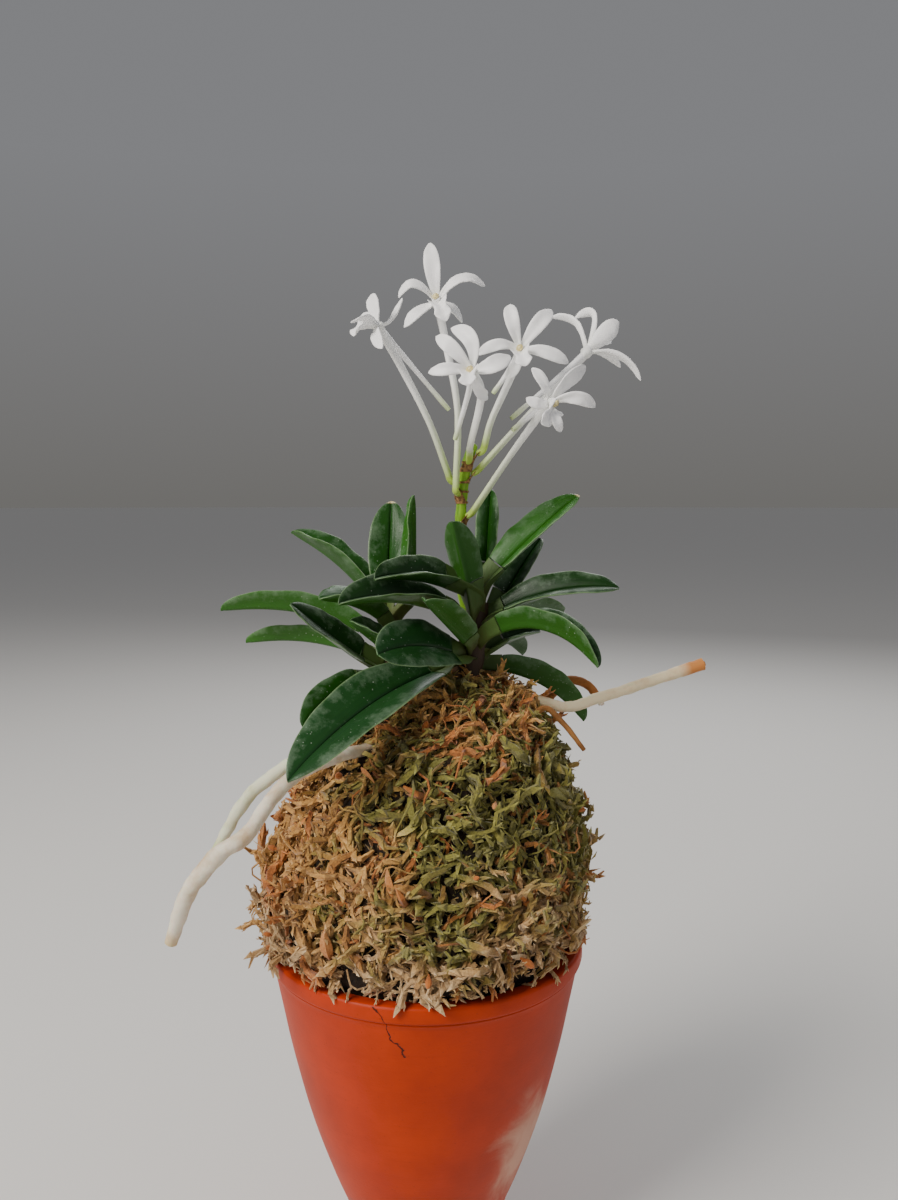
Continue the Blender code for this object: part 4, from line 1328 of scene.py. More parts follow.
@dataclass(frozen=True)
class Flower:
    """One flower: centre, the way it faces, five tepals, lip, spur and its own stalk, which
    sits on the flower stalk at a height and a heading."""

    name: str
    centre: Point
    facing: Point
    tepals: tuple[Tepal, ...]
    lip: Point
    spur: tuple[Point, Point]
    pedicel: tuple[Point, Point]
    seat: Span
    thickness: float = 0.75
    steps: int = 14

    @staticmethod
    def arc(start: Vector, middle: Vector, end: Vector, u: float) -> Vector:
        """Return a point of the arc from start to end that passes middle at half way."""
        handle = middle * 2 - (start + end) / 2
        return start * (1 - u) ** 2 + handle * 2 * u * (1 - u) + end * u ** 2

    @staticmethod
    def tepal_share(u: float) -> float:
        """Find how wide a tepal is.

        Args:
            u: How far along it, from 0 to 1.

        Returns:
            The share of its solid's width.
        """
        if u < TEPAL_WIDEST:
            swell = math.sin(math.pi / 2 * u / TEPAL_WIDEST) ** 1.2
            return TEPAL_FOOT + (TEPAL_FULL - TEPAL_FOOT) * swell
        narrow = ((u - TEPAL_WIDEST) / (1 - TEPAL_WIDEST)) ** 2.3
        return TEPAL_FULL * max(0.0, 1 - narrow) ** 0.7

    @staticmethod
    def lip_share(u: float) -> float:
        """Find how wide the lip is: two side lobes, a neck and a tongue.

        Args:
            u: How far along it, from 0 to 1.

        Returns:
            The share of its full width.
        """
        lobes = 0.62 + 0.5 * bell(u - LIP_LOBES, 0.13)
        tongue = 0.35 * bell(u - 0.74, 0.18)
        end = max(0.0, 1 - max(0.0, (u - 0.72) / 0.28) ** 2.4) ** 0.6
        return (lobes + tongue) * end

    def lift(self, u: float, v: float, reach: float, is_lip: bool, seed: float) -> float:
        """Find how far the middle of a blade's body stands above its flat.

        Args:
            u: How far along the blade, from 0 to 1.
            v: How far across it, from -1 to 1.
            reach: Half its width.
            is_lip: Whether it is the three-lobed lip.
            seed: A number that makes its waves its own.

        Returns:
            The height.
        """
        cup = 0.2 * v * v * reach
        frill = 0.5 * noise.noise(Vector((seed + 7, u * 9, v))) * v * v
        if is_lip:
            cup += 1.5 * abs(v) ** 1.6 * bell(u - LIP_LOBES, 0.14)
            cup -= 0.25 * bell(v, 0.3) * bell(u - 0.5, 0.3)
        else:
            frill *= 0.4
        return cup + 0.28 * noise.noise(Vector((seed, u * 3.5, v * 0.8))) + frill

    def sheet(self, shell: Shell, tepal: Tepal, is_lip: bool, seed: float) -> None:
        """Add one tepal or the lip as a closed fleshy blade.

        Args:
            shell: The flower's shell.
            tepal: The blade's arc and width.
            is_lip: Whether it is the three-lobed lip.
            seed: A number that makes its waves its own.
        """
        facing = Vector(self.facing).normalized()
        middle = Vector(tepal.middle)
        tip = Vector(tepal.tip)
        start = Vector(self.centre).lerp(middle, 0.1)
        rings = []
        rows = []
        for i in range(TEPAL_RINGS):
            s = i / (TEPAL_RINGS - 1)
            u = (1 - (1 - s) ** 1.7) * 0.9995
            spot = self.arc(start, middle, tip, u)
            along = (self.arc(start, middle, tip, min(1.0, u + 0.05))
                     - self.arc(start, middle, tip, max(0.0, u - 0.05))).normalized()
            side = along.cross(facing).normalized()
            up = side.cross(along)
            reach = (self.lip_share(u) if is_lip else self.tepal_share(u)) * tepal.width / 2
            ring = []
            for upper in (1.0, -1.0):
                for v in TEPAL_ACROSS if upper > 0 else TEPAL_ACROSS[-2:0:-1]:
                    half = 0.5 * self.thickness * (1 - abs(v) ** 4) ** 0.5 * (1 - u ** 6) ** 0.5
                    channel = 0.12 * bell(v, 0.2) * (1 - u) if upper > 0 else 0.0
                    rise = self.lift(u, v, reach, is_lip, seed) + upper * half - channel
                    ring.append(spot + side * v * reach + up * rise)
            rings.append(ring)
            rows.append({"lime": 0.12 * max(0.0, 1 - u * 4)})
        shell.loft(rings, rows)

    def build(self, material: Material, stalk: "FlowerStalk") -> None:
        """Make the whole flower.

        Args:
            material: The petals' finish.
            stalk: The stalk that it sits on.
        """
        shell = Shell("lime", "cream")
        centre = Vector(self.centre)
        facing = Vector(self.facing).normalized()
        for number, tepal in enumerate(self.tepals):
            self.sheet(shell, tepal, False, number * 3.7 + centre.x)
        lip_middle = centre.lerp(Vector(self.lip), 0.5) + facing * 1.6
        self.sheet(shell, Tepal(lip_middle, self.lip, LIP_WIDTH), True, centre.z)
        self.rod(shell, (-1.4, -0.6, 0.3), [0.9, 1.5, 1.45], 14, {"lime": 0.1})
        self.rod(shell, (0.0, 0.8, 1.5, 2.1), [1.25, 1.2, 1.1, 0.95], 14, {}, (2, 0.12, 0.0))
        self.rod(shell, (1.9, 2.3, 2.7), [0.75, 0.85, 0.6], 12, {"cream": 1.0}, (2, 0.1, 0.0))
        spur = smooth_route([centre - facing * 0.4, *self.spur], self.steps)
        shares = [i / (len(spur) - 1) for i in range(len(spur))]
        radii = [0.95 - 0.45 * share ** 0.8 + 0.12 * bell(share - 0.93, 0.07)
                 for share in shares]
        shell.tube(spur, radii, 12, [{"lime": 0.75 * max(0.0, (share - 0.72) / 0.28)}
                                     for share in shares], rough=0.06)
        self.pedicel_tube(shell, centre, stalk)
        hand_in(shell.build(self.name + "_bloom", material, sharp=70.0), Slot.FLOWER, self.name)

    def rod(self, shell: Shell, places: tuple[float, ...], radii: list[float], sides: int,
            values: Values, ridges: tuple[int, float, float] = (0, 0.0, 0.0)) -> None:
        """Add the hub, the column or its cap: a short tube the way that the flower faces.

        Args:
            shell: The flower's shell.
            places: Its places from the flower's centre outwards.
            radii: Its radius at each place.
            sides: The number of points round it.
            values: Its named values.
            ridges: Its ridges, as for a tube.
        """
        facing = Vector(self.facing).normalized()
        line = [Vector(self.centre) + facing * place for place in places]
        shell.tube(line, radii, sides, [values] * len(line), ridges)

    def pedicel_tube(self, shell: Shell, centre: Vector, stalk: "FlowerStalk") -> None:
        """Add the flower's own stalk, ridged and a little twisted.

        Args:
            shell: The flower's shell.
            centre: The flower's centre.
            stalk: The stalk that it sits on.
        """
        height, heading = self.seat
        seat = point_at_height(stalk.route, height) + direction(heading, 0) * stalk.seat_reach
        elbow = seat + direction(heading, 35) * 1.6
        rise = elbow + (Vector(self.pedicel[-1]) - elbow).normalized() * 3.0
        line = smooth_route([centre, *self.pedicel, rise, elbow, seat], self.steps)
        radii = spread((1.1, 0.95, 0.8, 0.85, 0.9, 0.8), self.steps)
        last = len(line) - 1
        values = [{"lime": max(0.05, min(1.0, (i / last - 0.25) / 0.45))}
                  for i in range(last + 1)]
        shell.tube(line, radii, 15, values, ridges=(3, 0.1, 0.7))


FLOWERS = (
    Flower(
        "flower_1", (-11.5, -8, 257.4), (-0.7, -0.45, 0.55),
        (Tepal((-12.6, -6.5, 262.6), (-13.8, -4, 265.7), 4.6),
         Tepal((-8.2, -3, 260.4), (-5.9, 0, 266), 3.2),
         Tepal((-14.4, -4, 260.2), (-16.7, 0, 261), 3.6),
         Tepal((-14.2, -12, 258.6), (-17.6, -15, 257.2), 3.6),
         Tepal((-11.6, -13, 254.4), (-9.8, -17, 250.8), 3.8)),
        (-17.4, -11.5, 254.6), ((-6.2, -4.4, 251.7), (6.1, -2, 237.6)),
        ((-5.9, -8, 247.6), (1, -5, 234.3)), (219, 182),
    ),
    Flower(
        "flower_2", (3.1, -4, 264), (-0.15, -0.8, 0.55),
        (Tepal((2, -4.5, 272), (1.3, -2, 279.1), 4.8),
         Tepal((-2.6, -7, 267.9), (-6.4, -5, 265), 3.4),
         Tepal((9, -6, 269.4), (15.1, -3.5, 268.1), 3.8),
         Tepal((-1.4, -8, 261), (-5.1, -7, 257.4), 4.2),
         Tepal((7, -4, 262.4), (9.5, -0.5, 259.8), 3.4)),
        (5.4, -10, 258.4), ((4.6, 1.5, 258), (6.8, 5, 248)),
        ((5.3, -4.6, 253.6), (8.2, -5, 237.3)), (216.2, 240),
    ),
    Flower(
        "flower_3", (11.6, -20, 245.1), (-0.25, -0.9, 0.1),
        (Tepal((7, -22, 250), (3, -19.5, 253.3), 4.2),
         Tepal((11.2, -21, 252.2), (6.6, -17, 255.4), 4.6),
         Tepal((6.4, -23, 245.2), (1.2, -21, 244.6), 3.6),
         Tepal((16.4, -22.5, 246.2), (20.6, -20, 248.6), 5.0),
         Tepal((13.4, -18.5, 240.8), (15.5, -15, 239.4), 3.4)),
        (10.5, -26, 241), ((10.8, -14.5, 240.4), (7.6, -11, 229.5)),
        ((14, -15, 240), (11.6, -9, 229)), (224.4, 275),
    ),
    Flower(
        "flower_4", (23.6, -10, 251.5), (-0.1, -0.95, 0.1),
        (Tepal((21.6, -12, 258), (20.9, -9.5, 262.5), 4.2),
         Tepal((27.8, -12, 257.2), (31.5, -9, 261.3), 4.6),
         Tepal((18.2, -12.5, 252.4), (13, -10.5, 250.2), 3.4),
         Tepal((29.8, -12.5, 250.6), (35.5, -11, 248.1), 3.8),
         Tepal((22.4, -10, 247.2), (20.2, -6, 245.4), 3.4)),
        (24.6, -16, 246.8), ((21.4, -4.6, 247.4), (17.4, -2, 241.8)),
        ((21.8, -8, 245.9), (17, -4, 235.2)), (226.6, 350),
    ),
    Flower(
        "flower_5", (40.8, -5, 251.7), (0.6, 0.5, 0.6),
        (Tepal((45.6, -4.4, 256.4), (49.1, -3, 259.5), 5.6),
         Tepal((43, -0.5, 261.4), (38.6, 2, 261.3), 3.2),
         Tepal((38.2, -0.5, 259.8), (32.4, 1.5, 261.3), 2.8),
         Tepal((49.3, -4.5, 250.6), (54.7, -4, 244.8), 3.0),
         Tepal((46.4, 0.5, 251.6), (50.6, 2.5, 248.8), 3.4)),
        (47, 3, 256), ((33, -8.4, 244.6), (21.4, -12.4, 234.6)),
        ((35, -4, 245.4), (23.9, -2.8, 233.6)), (221.4, 5),
    ),
    Flower(
        "flower_6", (30.7, -15, 238.4), (0.5, -0.8, -0.25),
        (Tepal((28.6, -17.4, 243), (26.1, -16, 246.3), 3.4),
         Tepal((35.2, -16, 243.6), (39.7, -12.5, 246.9), 4.6),
         Tepal((36.8, -17, 239.2), (41.8, -14.5, 237.2), 3.8),
         Tepal((31.4, -19, 234.4), (33.2, -18, 231), 3.4),
         Tepal((27.6, -18.4, 237.6), (24.6, -18.6, 239), 3.2)),
        (28, -21.5, 232.6), ((27.6, -11.6, 236.4), (21.6, -15.6, 231.6)),
        ((27.6, -11, 234.4), (21.2, -7, 225.4)), (210.4, 325),
    ),
)


@dataclass
class FlowerStalk:
    """The flower stalk with a papery bract below each flower."""

    route: tuple[Point, ...] = ((11, 1.6, 184), (9, 1.6, 195), (9.2, 0.8, 209.5),
                                (10, 0, 219.8), (11.5, 0, 226.3), (12.6, 0, 228.4))
    radii: tuple[float, ...] = (1.4, 1.4, 1.35, 1.25, 1.15, 1.0)
    steps: int = 16
    seat_reach: float = 2.1
    # The bracts that carry no flower, as height and heading.
    bare_seats: tuple[Span, ...] = ((196.0, 40.0), (204.0, 220.0))
    bract_drop: float = 1.9
    bract_length: float = 3.6
    bract_sides: int = 24
    bract_thickness: float = 0.28

    def build(self, flowers: tuple[Flower, ...]) -> None:
        """Make the stalk and its bracts.

        Args:
            flowers: The flowers that it carries.
        """
        line = smooth_route(self.route, self.steps)
        radii = []
        for spot, radius in zip(line, spread(self.radii, self.steps)):
            swelling = sum(bell(spot.z - flower.seat[0], 1.3) for flower in flowers)
            radii.append(radius * (1 + 0.14 * min(1.2, swelling)))
        shell = Shell()
        shell.tube(line, radii, 18, ridges=(5, 0.04, 0.2), rough=0.05)
        hand_in(shell.build("flower_stalk_stem", YOUNG_STALK.material()), Slot.STALK,
                "flower_stalk")
        bracts = Shell()
        for height, heading in [*[flower.seat for flower in flowers], *self.bare_seats]:
            self.bract(bracts, height - self.bract_drop, heading)
        hand_in(bracts.build("flower_stalk_bracts", PAPERY_BRACT.material()), Slot.STALK)

    def bract(self, shell: Shell, height: float, heading: float) -> None:
        """Add one bract: a short cup round the stalk that runs out to a point.

        Args:
            shell: The bracts' shell.
            height: The height of its foot.
            heading: The way that its point looks.
        """
        outer = []
        for share in (0.0, 0.35, 0.7, 1.0):
            ring = []
            for k in range(self.bract_sides):
                turn = math.tau * k / self.bract_sides
                towards = max(0.0, math.cos(turn)) ** 3
                rise = share * (0.55 + self.bract_length * 0.8 * towards)
                centre = point_at_height(self.route, height - 0.6 + rise)
                radius = 1.55 + 0.12 * share + 1.25 * share ** 2 * towards
                ring.append(centre + direction(heading + math.degrees(turn), 0) * radius)
            outer.append(ring)
        inner = []
        for ring in reversed(outer):
            inner.append([])
            for place in ring:
                centre = point_at_height(self.route, place.z)
                inward = Vector((centre.x - place.x, centre.y - place.y, 0)).normalized()
                inner[-1].append(place + inward * self.bract_thickness)
        shell.loft(outer + inner)


class Sprig(Enum):
    """The kinds of moss strand."""

    SCALY = "scaly"
    FLAKE = "flake"
    THREAD = "thread"
    BUD = "bud"


# A strand's half width or radius at even steps, and a bud's height and radius at each ring.
STEM_GIRTHS = (0.5, 0.66, 0.74, 0.66, 0.3)
FLAKE_WIDTHS = (0.4, 1.2, 1.5, 1.25, 0.7, 0.15)
THREAD_RADII = (0.26, 0.3, 0.28, 0.27, 0.24, 0.2, 0.1)
BUD_RINGS = ((2.0, 0.25), (3.6, 0.75), (4.4, 1.2), (5.6, 1.35), (6.8, 0.95), (7.5, 0.35))
BUD_TIP = 1.6
SPRIG_STEPS = 10
# The turn between one scale and the next, in radians, as in most plants.
SCALE_TURN = 2.4


@dataclass(frozen=True)
class SprigShape:
    """One small strand of moss, 12 mm long before it is scaled, standing on its foot. It bends
    towards its own +X by its hook and wriggles by its curl and its sway."""

    kind: Sprig
    hook: float
    sway: float
    curl: float = 0.3
    scales: int = 10
    girth: float = 1.0
    forked: bool = False
    length: float = 12.0

    def axis(self, t: float) -> Vector:
        """Follow the strand's bent axis.

        Args:
            t: How far along the strand, from 0 to 1.

        Returns:
            The point there.
        """
        point = Vector()
        for step in range(SPRIG_STEPS):
            s = t * (step + 0.5) / SPRIG_STEPS
            bend = self.hook * s + self.curl * math.sin(7.5 * s)
            swerve = self.sway * math.sin(5.5 * s + 1.0)
            way = Vector((math.sin(bend), swerve, math.cos(bend)))
            point += way * self.length * t / SPRIG_STEPS
        return point

    def heading(self, t: float) -> tuple[Vector, Vector, Vector]:
        """Find how the strand lies.

        Args:
            t: How far along the strand, from 0 to 1.

        Returns:
            The axis's direction and two directions across it.
        """
        along = (self.axis(min(1, t + 0.05)) - self.axis(max(0, t - 0.05))).normalized()
        across = Vector((0, 1, 0)).cross(along).normalized()
        return along, across, along.cross(across)

    def ring(self, t: float, radius: float, sides: int) -> list[Vector]:
        """Draw a ring round the strand.

        Args:
            t: How far along the strand, from 0 to 1.
            radius: The ring's radius.
            sides: The number of its points.

        Returns:
            Its points.
        """
        centre = self.axis(t)
        _, across, beside = self.heading(t)
        return [centre + (across * math.cos(math.tau * k / sides)
                          + beside * math.sin(math.tau * k / sides)) * radius
                for k in range(sides)]

    def mesh(self, name: str) -> bpy.types.Mesh:
        """Make the strand's mesh with how near each point is to its tip.

        Args:
            name: The mesh's name.

        Returns:
            The mesh.
        """
        shell = Shell("tip")
        makers = {Sprig.SCALY: self.scaly, Sprig.FLAKE: self.flake, Sprig.THREAD: self.thread,
                  Sprig.BUD: self.bud}
        makers[self.kind](shell)
        return shell.mesh(name)

    def core(self, shell: Shell, radii: tuple[float, ...]) -> None:
        """Add the strand's four-sided stem.

        Args:
            shell: The strand's shell.
            radii: Its radius at even steps.
        """
        shares = [i / (len(radii) - 1) for i in range(len(radii))]
        # The tip value rises to 0.45 up the stem, and the moss's finish paints it from shade at the
        # foot towards highlight.
        shell.loft([self.ring(t, radius, 4) for t, radius in zip(shares, radii)],
                   [{"tip": t * 0.45} for t in shares])

    def scale_leaf(self, shell: Shell, foot: Vector, towards: Vector, out: Vector,
                   reach: float, half: float) -> None:
        """Add one pointed scale as a thin keeled wedge.

        Args:
            shell: The strand's shell.
            foot: Its foot on the stem.
            towards: The way that it points.
            out: The way that its back looks.
            reach: Its length.
            half: Half its width.
        """
        flank = towards.cross(out).normalized()
        tip = foot + towards * reach
        # The tip value runs from 0.15 at the scale's foot to 1 at its point, and the finish paints
        # it from shade to highlight.
        left = shell.add(foot + flank * half, tip=0.15)
        right = shell.add(foot - flank * half, tip=0.15)
        back = shell.add(foot.lerp(tip, 0.45) + out * 0.5 * half, tip=0.5)
        end = shell.add(tip, tip=1.0)
        shell.faces += [(left, back, end), (back, right, end), (right, left, end),
                        (left, right, back)]

    def scaly(self, shell: Shell) -> None:
        """Add a stem wrapped in pointed scales that lie along it and fray at its end.

        Args:
            shell: The strand's shell.
        """
        girth = self.girth
        self.core(shell, tuple(girth * share for share in STEM_GIRTHS))
        draw = random.Random(self.scales + round(self.hook * 10))
        for k in range(self.scales):
            t = 0.04 + 0.84 * k / self.scales
            along, across, beside = self.heading(t)
            turn = k * SCALE_TURN + draw.uniform(-0.5, 0.5)
            out = across * math.cos(turn) + beside * math.sin(turn)
            lean = draw.uniform(0.05, 0.28) + 0.12 * t
            foot = self.axis(t) + out * 0.38 * girth
            towards = along * math.cos(lean) + out * math.sin(lean)
            self.scale_leaf(shell, foot, towards, out, draw.uniform(1.8, 2.5) * girth ** 0.5,
                            draw.uniform(0.65, 0.9) * girth)
        if self.forked:
            along, across, beside = self.heading(0.5)
            for turn, reach in ((1.2, 4.2), (-1.6, 3.2)):
                out = across * math.cos(turn) + beside * math.sin(turn)
                self.scale_leaf(shell, self.axis(0.5), (along + out * 0.8).normalized(), out,
                                reach, 0.75 * girth)

    def flake(self, shell: Shell) -> None:
        """Add one broad papery moss leaf, cupped and curled.

        Args:
            shell: The strand's shell.
        """
        rings = []
        rows = []
        for i, width in enumerate(FLAKE_WIDTHS):
            t = i / (len(FLAKE_WIDTHS) - 1) * 0.62
            centre = self.axis(t)
            _, up, beside = self.heading(t)
            half = width * self.girth
            rings.append([centre - beside * half + up * 0.5 * half, centre - up * 0.1,
                          centre + beside * half + up * 0.5 * half, centre + up * 0.1])
            rows.append({"tip": 0.4 + t})
        shell.loft(rings, rows)

    def thread(self, shell: Shell) -> None:
        """Add a bare thin stem."""
        self.core(shell, THREAD_RADII)

    def bud(self, shell: Shell) -> None:
        """Add an egg-shaped bud, whose tip value tells the finish to colour it."""
        shell.loft([self.ring(height / self.length, radius, 7) for height, radius in BUD_RINGS],
                   [{"tip": BUD_TIP}] * len(BUD_RINGS))


@dataclass(frozen=True)
class MossLayer:
    """One layer of strands: how close they stand, how they lean and how large they are."""

    name: str
    shapes: tuple[SprigShape, ...]
    spacing: float
    lift: float
    droop: float
    size: Span
    tint: Span
    heights: Span
    sink: float
    seed: int
    clearance: float = 1.2


# The kinds of strand: hook, sway, curl, number of scales, girth and whether it forks.
SCALY_STRANDS = (
    SprigShape(Sprig.SCALY, 1.3, 0.3, 0.5, 9, 1.1),
    SprigShape(Sprig.SCALY, 0.8, -0.5, 0.8, 8, 1.2),
    SprigShape(Sprig.SCALY, 2.1, 0.35, -0.5, 8, 0.95),
    SprigShape(Sprig.SCALY, 0.7, 0.5, 0.9, 7, 1.0, True),
    SprigShape(Sprig.SCALY, 1.6, -0.3, -0.3, 8, 1.35),
    SprigShape(Sprig.SCALY, 0.2, -0.45, 0.9, 7, 0.9, True),
    SprigShape(Sprig.SCALY, 2.6, 0.2, 0.6, 9, 1.05),
)
FLAKES = (SprigShape(Sprig.FLAKE, 1.6, 0.2, 0.3, 0, 0.85),
          SprigShape(Sprig.FLAKE, 2.2, -0.3, 0.5, 0, 0.7))
THREADS = (SprigShape(Sprig.THREAD, 0.8, 0.5, 0.8),
           SprigShape(Sprig.THREAD, 1.5, -0.4, -0.6))
BUD_STRAND = SprigShape(Sprig.BUD, 0.3, 0.1, 0.1)
# The heights that the layers cover in millimetres.
WHOLE_MOUND = (101.5, 170.0)
OPEN_MOUND = (104.5, 170.0)
# The layers, from the flattest to the most upright.
MOSS_LAYERS = (
    MossLayer("moss_under_layer", SCALY_STRANDS, 2.0, 0.12, 0.5, (0.7, 1.05), (0.0, 0.88),
              WHOLE_MOUND, 3.7, 3),
    MossLayer("moss_middle_layer", SCALY_STRANDS + FLAKES, 2.15, 0.3, 0.6, (0.65, 1.05),
              (0.0, 0.95), OPEN_MOUND, 2.6, 8),
    MossLayer("moss_top_layer", SCALY_STRANDS + FLAKES[:1] + THREADS, 2.9, 0.42, 0.6,
              (0.75, 1.3), (0.1, 1.0), OPEN_MOUND, 1.5, 21),
    MossLayer("moss_rim_fringe", SCALY_STRANDS, 3.0, 1.0, 0.3, (0.35, 0.6), (0.0, 0.7),
              (100.5, 105.5), 1.6, 5, 0.4),
    MossLayer("moss_collar", SCALY_STRANDS + THREADS, 2.3, 1.2, 0.0, (0.5, 0.95), (0.45, 1.0),
              (154.0, 170.0), 0.5, 6, 0.35),
    MossLayer("moss_buds", (BUD_STRAND,), 21.0, 1.3, 0.2, (0.45, 0.75), (0.2, 1.0),
              (106.0, 164.0), 2.0, 12, 1.5),
)
# What one layer of moss is given, with the kind of each value.
LAYER_PORTS = (("Bed", "Geometry"), ("Strands", "Collection"), ("Plant", "Object"),
               ("Spacing", "Float"), ("Seed", "Int"), ("Lift", "Float"), ("Droop", "Float"),
               ("Smallest", "Float"), ("Largest", "Float"), ("Lowest tint", "Float"),
               ("Highest tint", "Float"), ("Clearance", "Float"), ("Length", "Float"),
               ("Finish", "Material"))
# The places along a strand at which its distance from the plant is measured.
PROBES = (0.25, 0.6, 1.0)


class LayerGraph(Graph):
    """The node tree that grows one layer of strands on a bed."""

    def __init__(self) -> None:
        """Start the tree with its inputs and its output."""
        super().__init__(bpy.data.node_groups.new("sphagnum_layer", "GeometryNodeTree"))
        ports = self.tree.interface
        for name, kind in LAYER_PORTS:
            ports.new_socket(name, in_out="INPUT", socket_type="NodeSocket" + kind)
        ports.new_socket("Moss", in_out="OUTPUT", socket_type="NodeSocketGeometry")
        self.given = self.add("NodeGroupInput", out=None)

    def strand_heading(self, normal: Socket) -> Socket:
        """Send each strand its own way along the bed, lifted off it and falling on its flanks.

        Args:
            normal: The bed's normal.

        Returns:
            The strand's direction.
        """
        drift = self.add(CHANCE, {0: (-1.0, -1.0, -1.0), 1: (1.0, 1.0, 1.0), "Seed": 11},
                         data_type="FLOAT_VECTOR")
        inward = self.add(VECTOR, {0: drift, 1: normal}, "Value", operation="DOT_PRODUCT")
        inward = self.add(VECTOR, {0: normal, "Scale": inward}, operation="SCALE")
        flat = self.add(VECTOR, {0: drift, 1: inward}, operation="SUBTRACT")
        flat = self.add(VECTOR, {0: flat}, operation="NORMALIZE")
        uneven = self.add(CHANCE, {2: 0.35, 3: 1.5, "Seed": 12}, 1, data_type="FLOAT")
        lift = self.add(MATH, {0: uneven, 1: self.given["Lift"]}, operation="MULTIPLY")
        rise = self.add(VECTOR, {0: normal, "Scale": lift}, operation="SCALE")
        steep = self.add(AXES, {0: normal}, "Z")
        steep = self.add(MATH, {0: 1.0, 1: steep}, operation="SUBTRACT")
        fall = self.add(MATH, {0: steep, 1: self.given["Droop"]}, operation="MULTIPLY")
        fall = self.add(VECTOR, {0: (0.0, 0.0, -1.0), "Scale": fall}, operation="SCALE")
        heading = self.row(VECTOR, 0, flat, [{1: rise}, {1: fall}], operation="ADD")
        return self.add(VECTOR, {0: heading}, operation="NORMALIZE")

    def crowded(self, heading: Socket, size: Socket) -> Socket:
        """Find the strands that would come too near the plant.

        Args:
            heading: The strand's direction.
            size: Its size.

        Returns:
            Whether the strand is to be left out.
        """
        reach = self.add(MATH, {0: size, 1: self.given["Length"]}, operation="MULTIPLY")
        plant = self.add("GeometryNodeObjectInfo", {"Object": self.given["Plant"]}, "Geometry")
        place = self.add("GeometryNodeInputPosition")
        gaps = []
        for share in PROBES:
            part = self.add(MATH, {0: reach, 1: share}, operation="MULTIPLY")
            probe = self.add(VECTOR, {0: heading, "Scale": part}, operation="SCALE")
            probe = self.add(VECTOR, {0: probe, 1: place}, operation="ADD")
            gaps.append(self.add("GeometryNodeProximity",
                                 {0: plant, "Source Position": probe}, "Distance"))
        nearest = self.row(MATH, 0, gaps[0], [{1: gap} for gap in gaps[1:]],
                           operation="MINIMUM")
        return self.add("FunctionNodeCompare", {0: nearest, 1: self.given["Clearance"]},
                        operation="LESS_THAN")

    def stance(self, normal: Socket, heading: Socket) -> Socket:
        """Stand each strand along its direction, with its hook towards the bed.

        Args:
            normal: The bed's normal.
            heading: The strand's direction.

        Returns:
            The strand's rotation, turned a little at random.
        """
        turn = self.add("FunctionNodeAlignRotationToVector", {"Vector": heading}, axis="Z")
        inwards = self.add(VECTOR, {0: normal, "Scale": -1.0}, operation="SCALE")
        turn = self.add("FunctionNodeAlignRotationToVector",
                        {"Rotation": turn, "Vector": inwards}, axis="X", pivot_axis="Z")
        spin = self.add(CHANCE, {2: -1.2, 3: 1.2, "Seed": 14}, 1, data_type="FLOAT")
        spin = self.add("FunctionNodeAxisAngleToRotation",
                        {"Axis": (0.0, 0.0, 1.0), "Angle": spin})
        return self.add("FunctionNodeRotateRotation", {"Rotation": turn, "Rotate By": spin},
                        rotation_space="LOCAL")

    def build(self) -> bpy.types.NodeTree:
        """Build the whole tree.

        Returns:
            The tree.
        """
        given = self.given
        scatter = self.add("GeometryNodeDistributePointsOnFaces", {
            "Mesh": given["Bed"], "Distance Min": given["Spacing"], "Density Max": 2.0e6,
            "Seed": given["Seed"]}, None, distribute_method="POISSON")
        heading = self.strand_heading(scatter["Normal"])
        size = self.add(CHANCE, {2: given["Smallest"], 3: given["Largest"], "Seed": 13}, 1,
                        data_type="FLOAT")
        kept = self.add("GeometryNodeDeleteGeometry", {
            "Geometry": scatter["Points"], "Selection": self.crowded(heading, size)},
            domain="POINT")
        strands = self.add("GeometryNodeCollectionInfo", {
            "Collection": given["Strands"], "Separate Children": True, "Reset Children": True})
        pick = self.add(CHANCE, {4: 0, 5: 99, "Seed": 15}, 2, data_type="INT")
        grown = self.add("GeometryNodeInstanceOnPoints", {
            "Points": kept, "Instance": strands, "Pick Instance": True, "Instance Index": pick,
            "Rotation": self.stance(scatter["Normal"], heading), "Scale": size})
        tint = self.add(CHANCE, {2: given["Lowest tint"], 3: given["Highest tint"],
                                 "Seed": 16}, 1, data_type="FLOAT")
        tinted = self.add("GeometryNodeStoreNamedAttribute", {
            "Geometry": grown, "Name": "tint", "Value": tint},
            data_type="FLOAT", domain="INSTANCE")
        real = self.add("GeometryNodeRealizeInstances", {0: tinted})
        dressed = self.add("GeometryNodeSetMaterial", {
            "Geometry": real, "Material": given["Finish"]})
        self.add("NodeGroupOutput", {0: dressed}, None)
        return self.tree


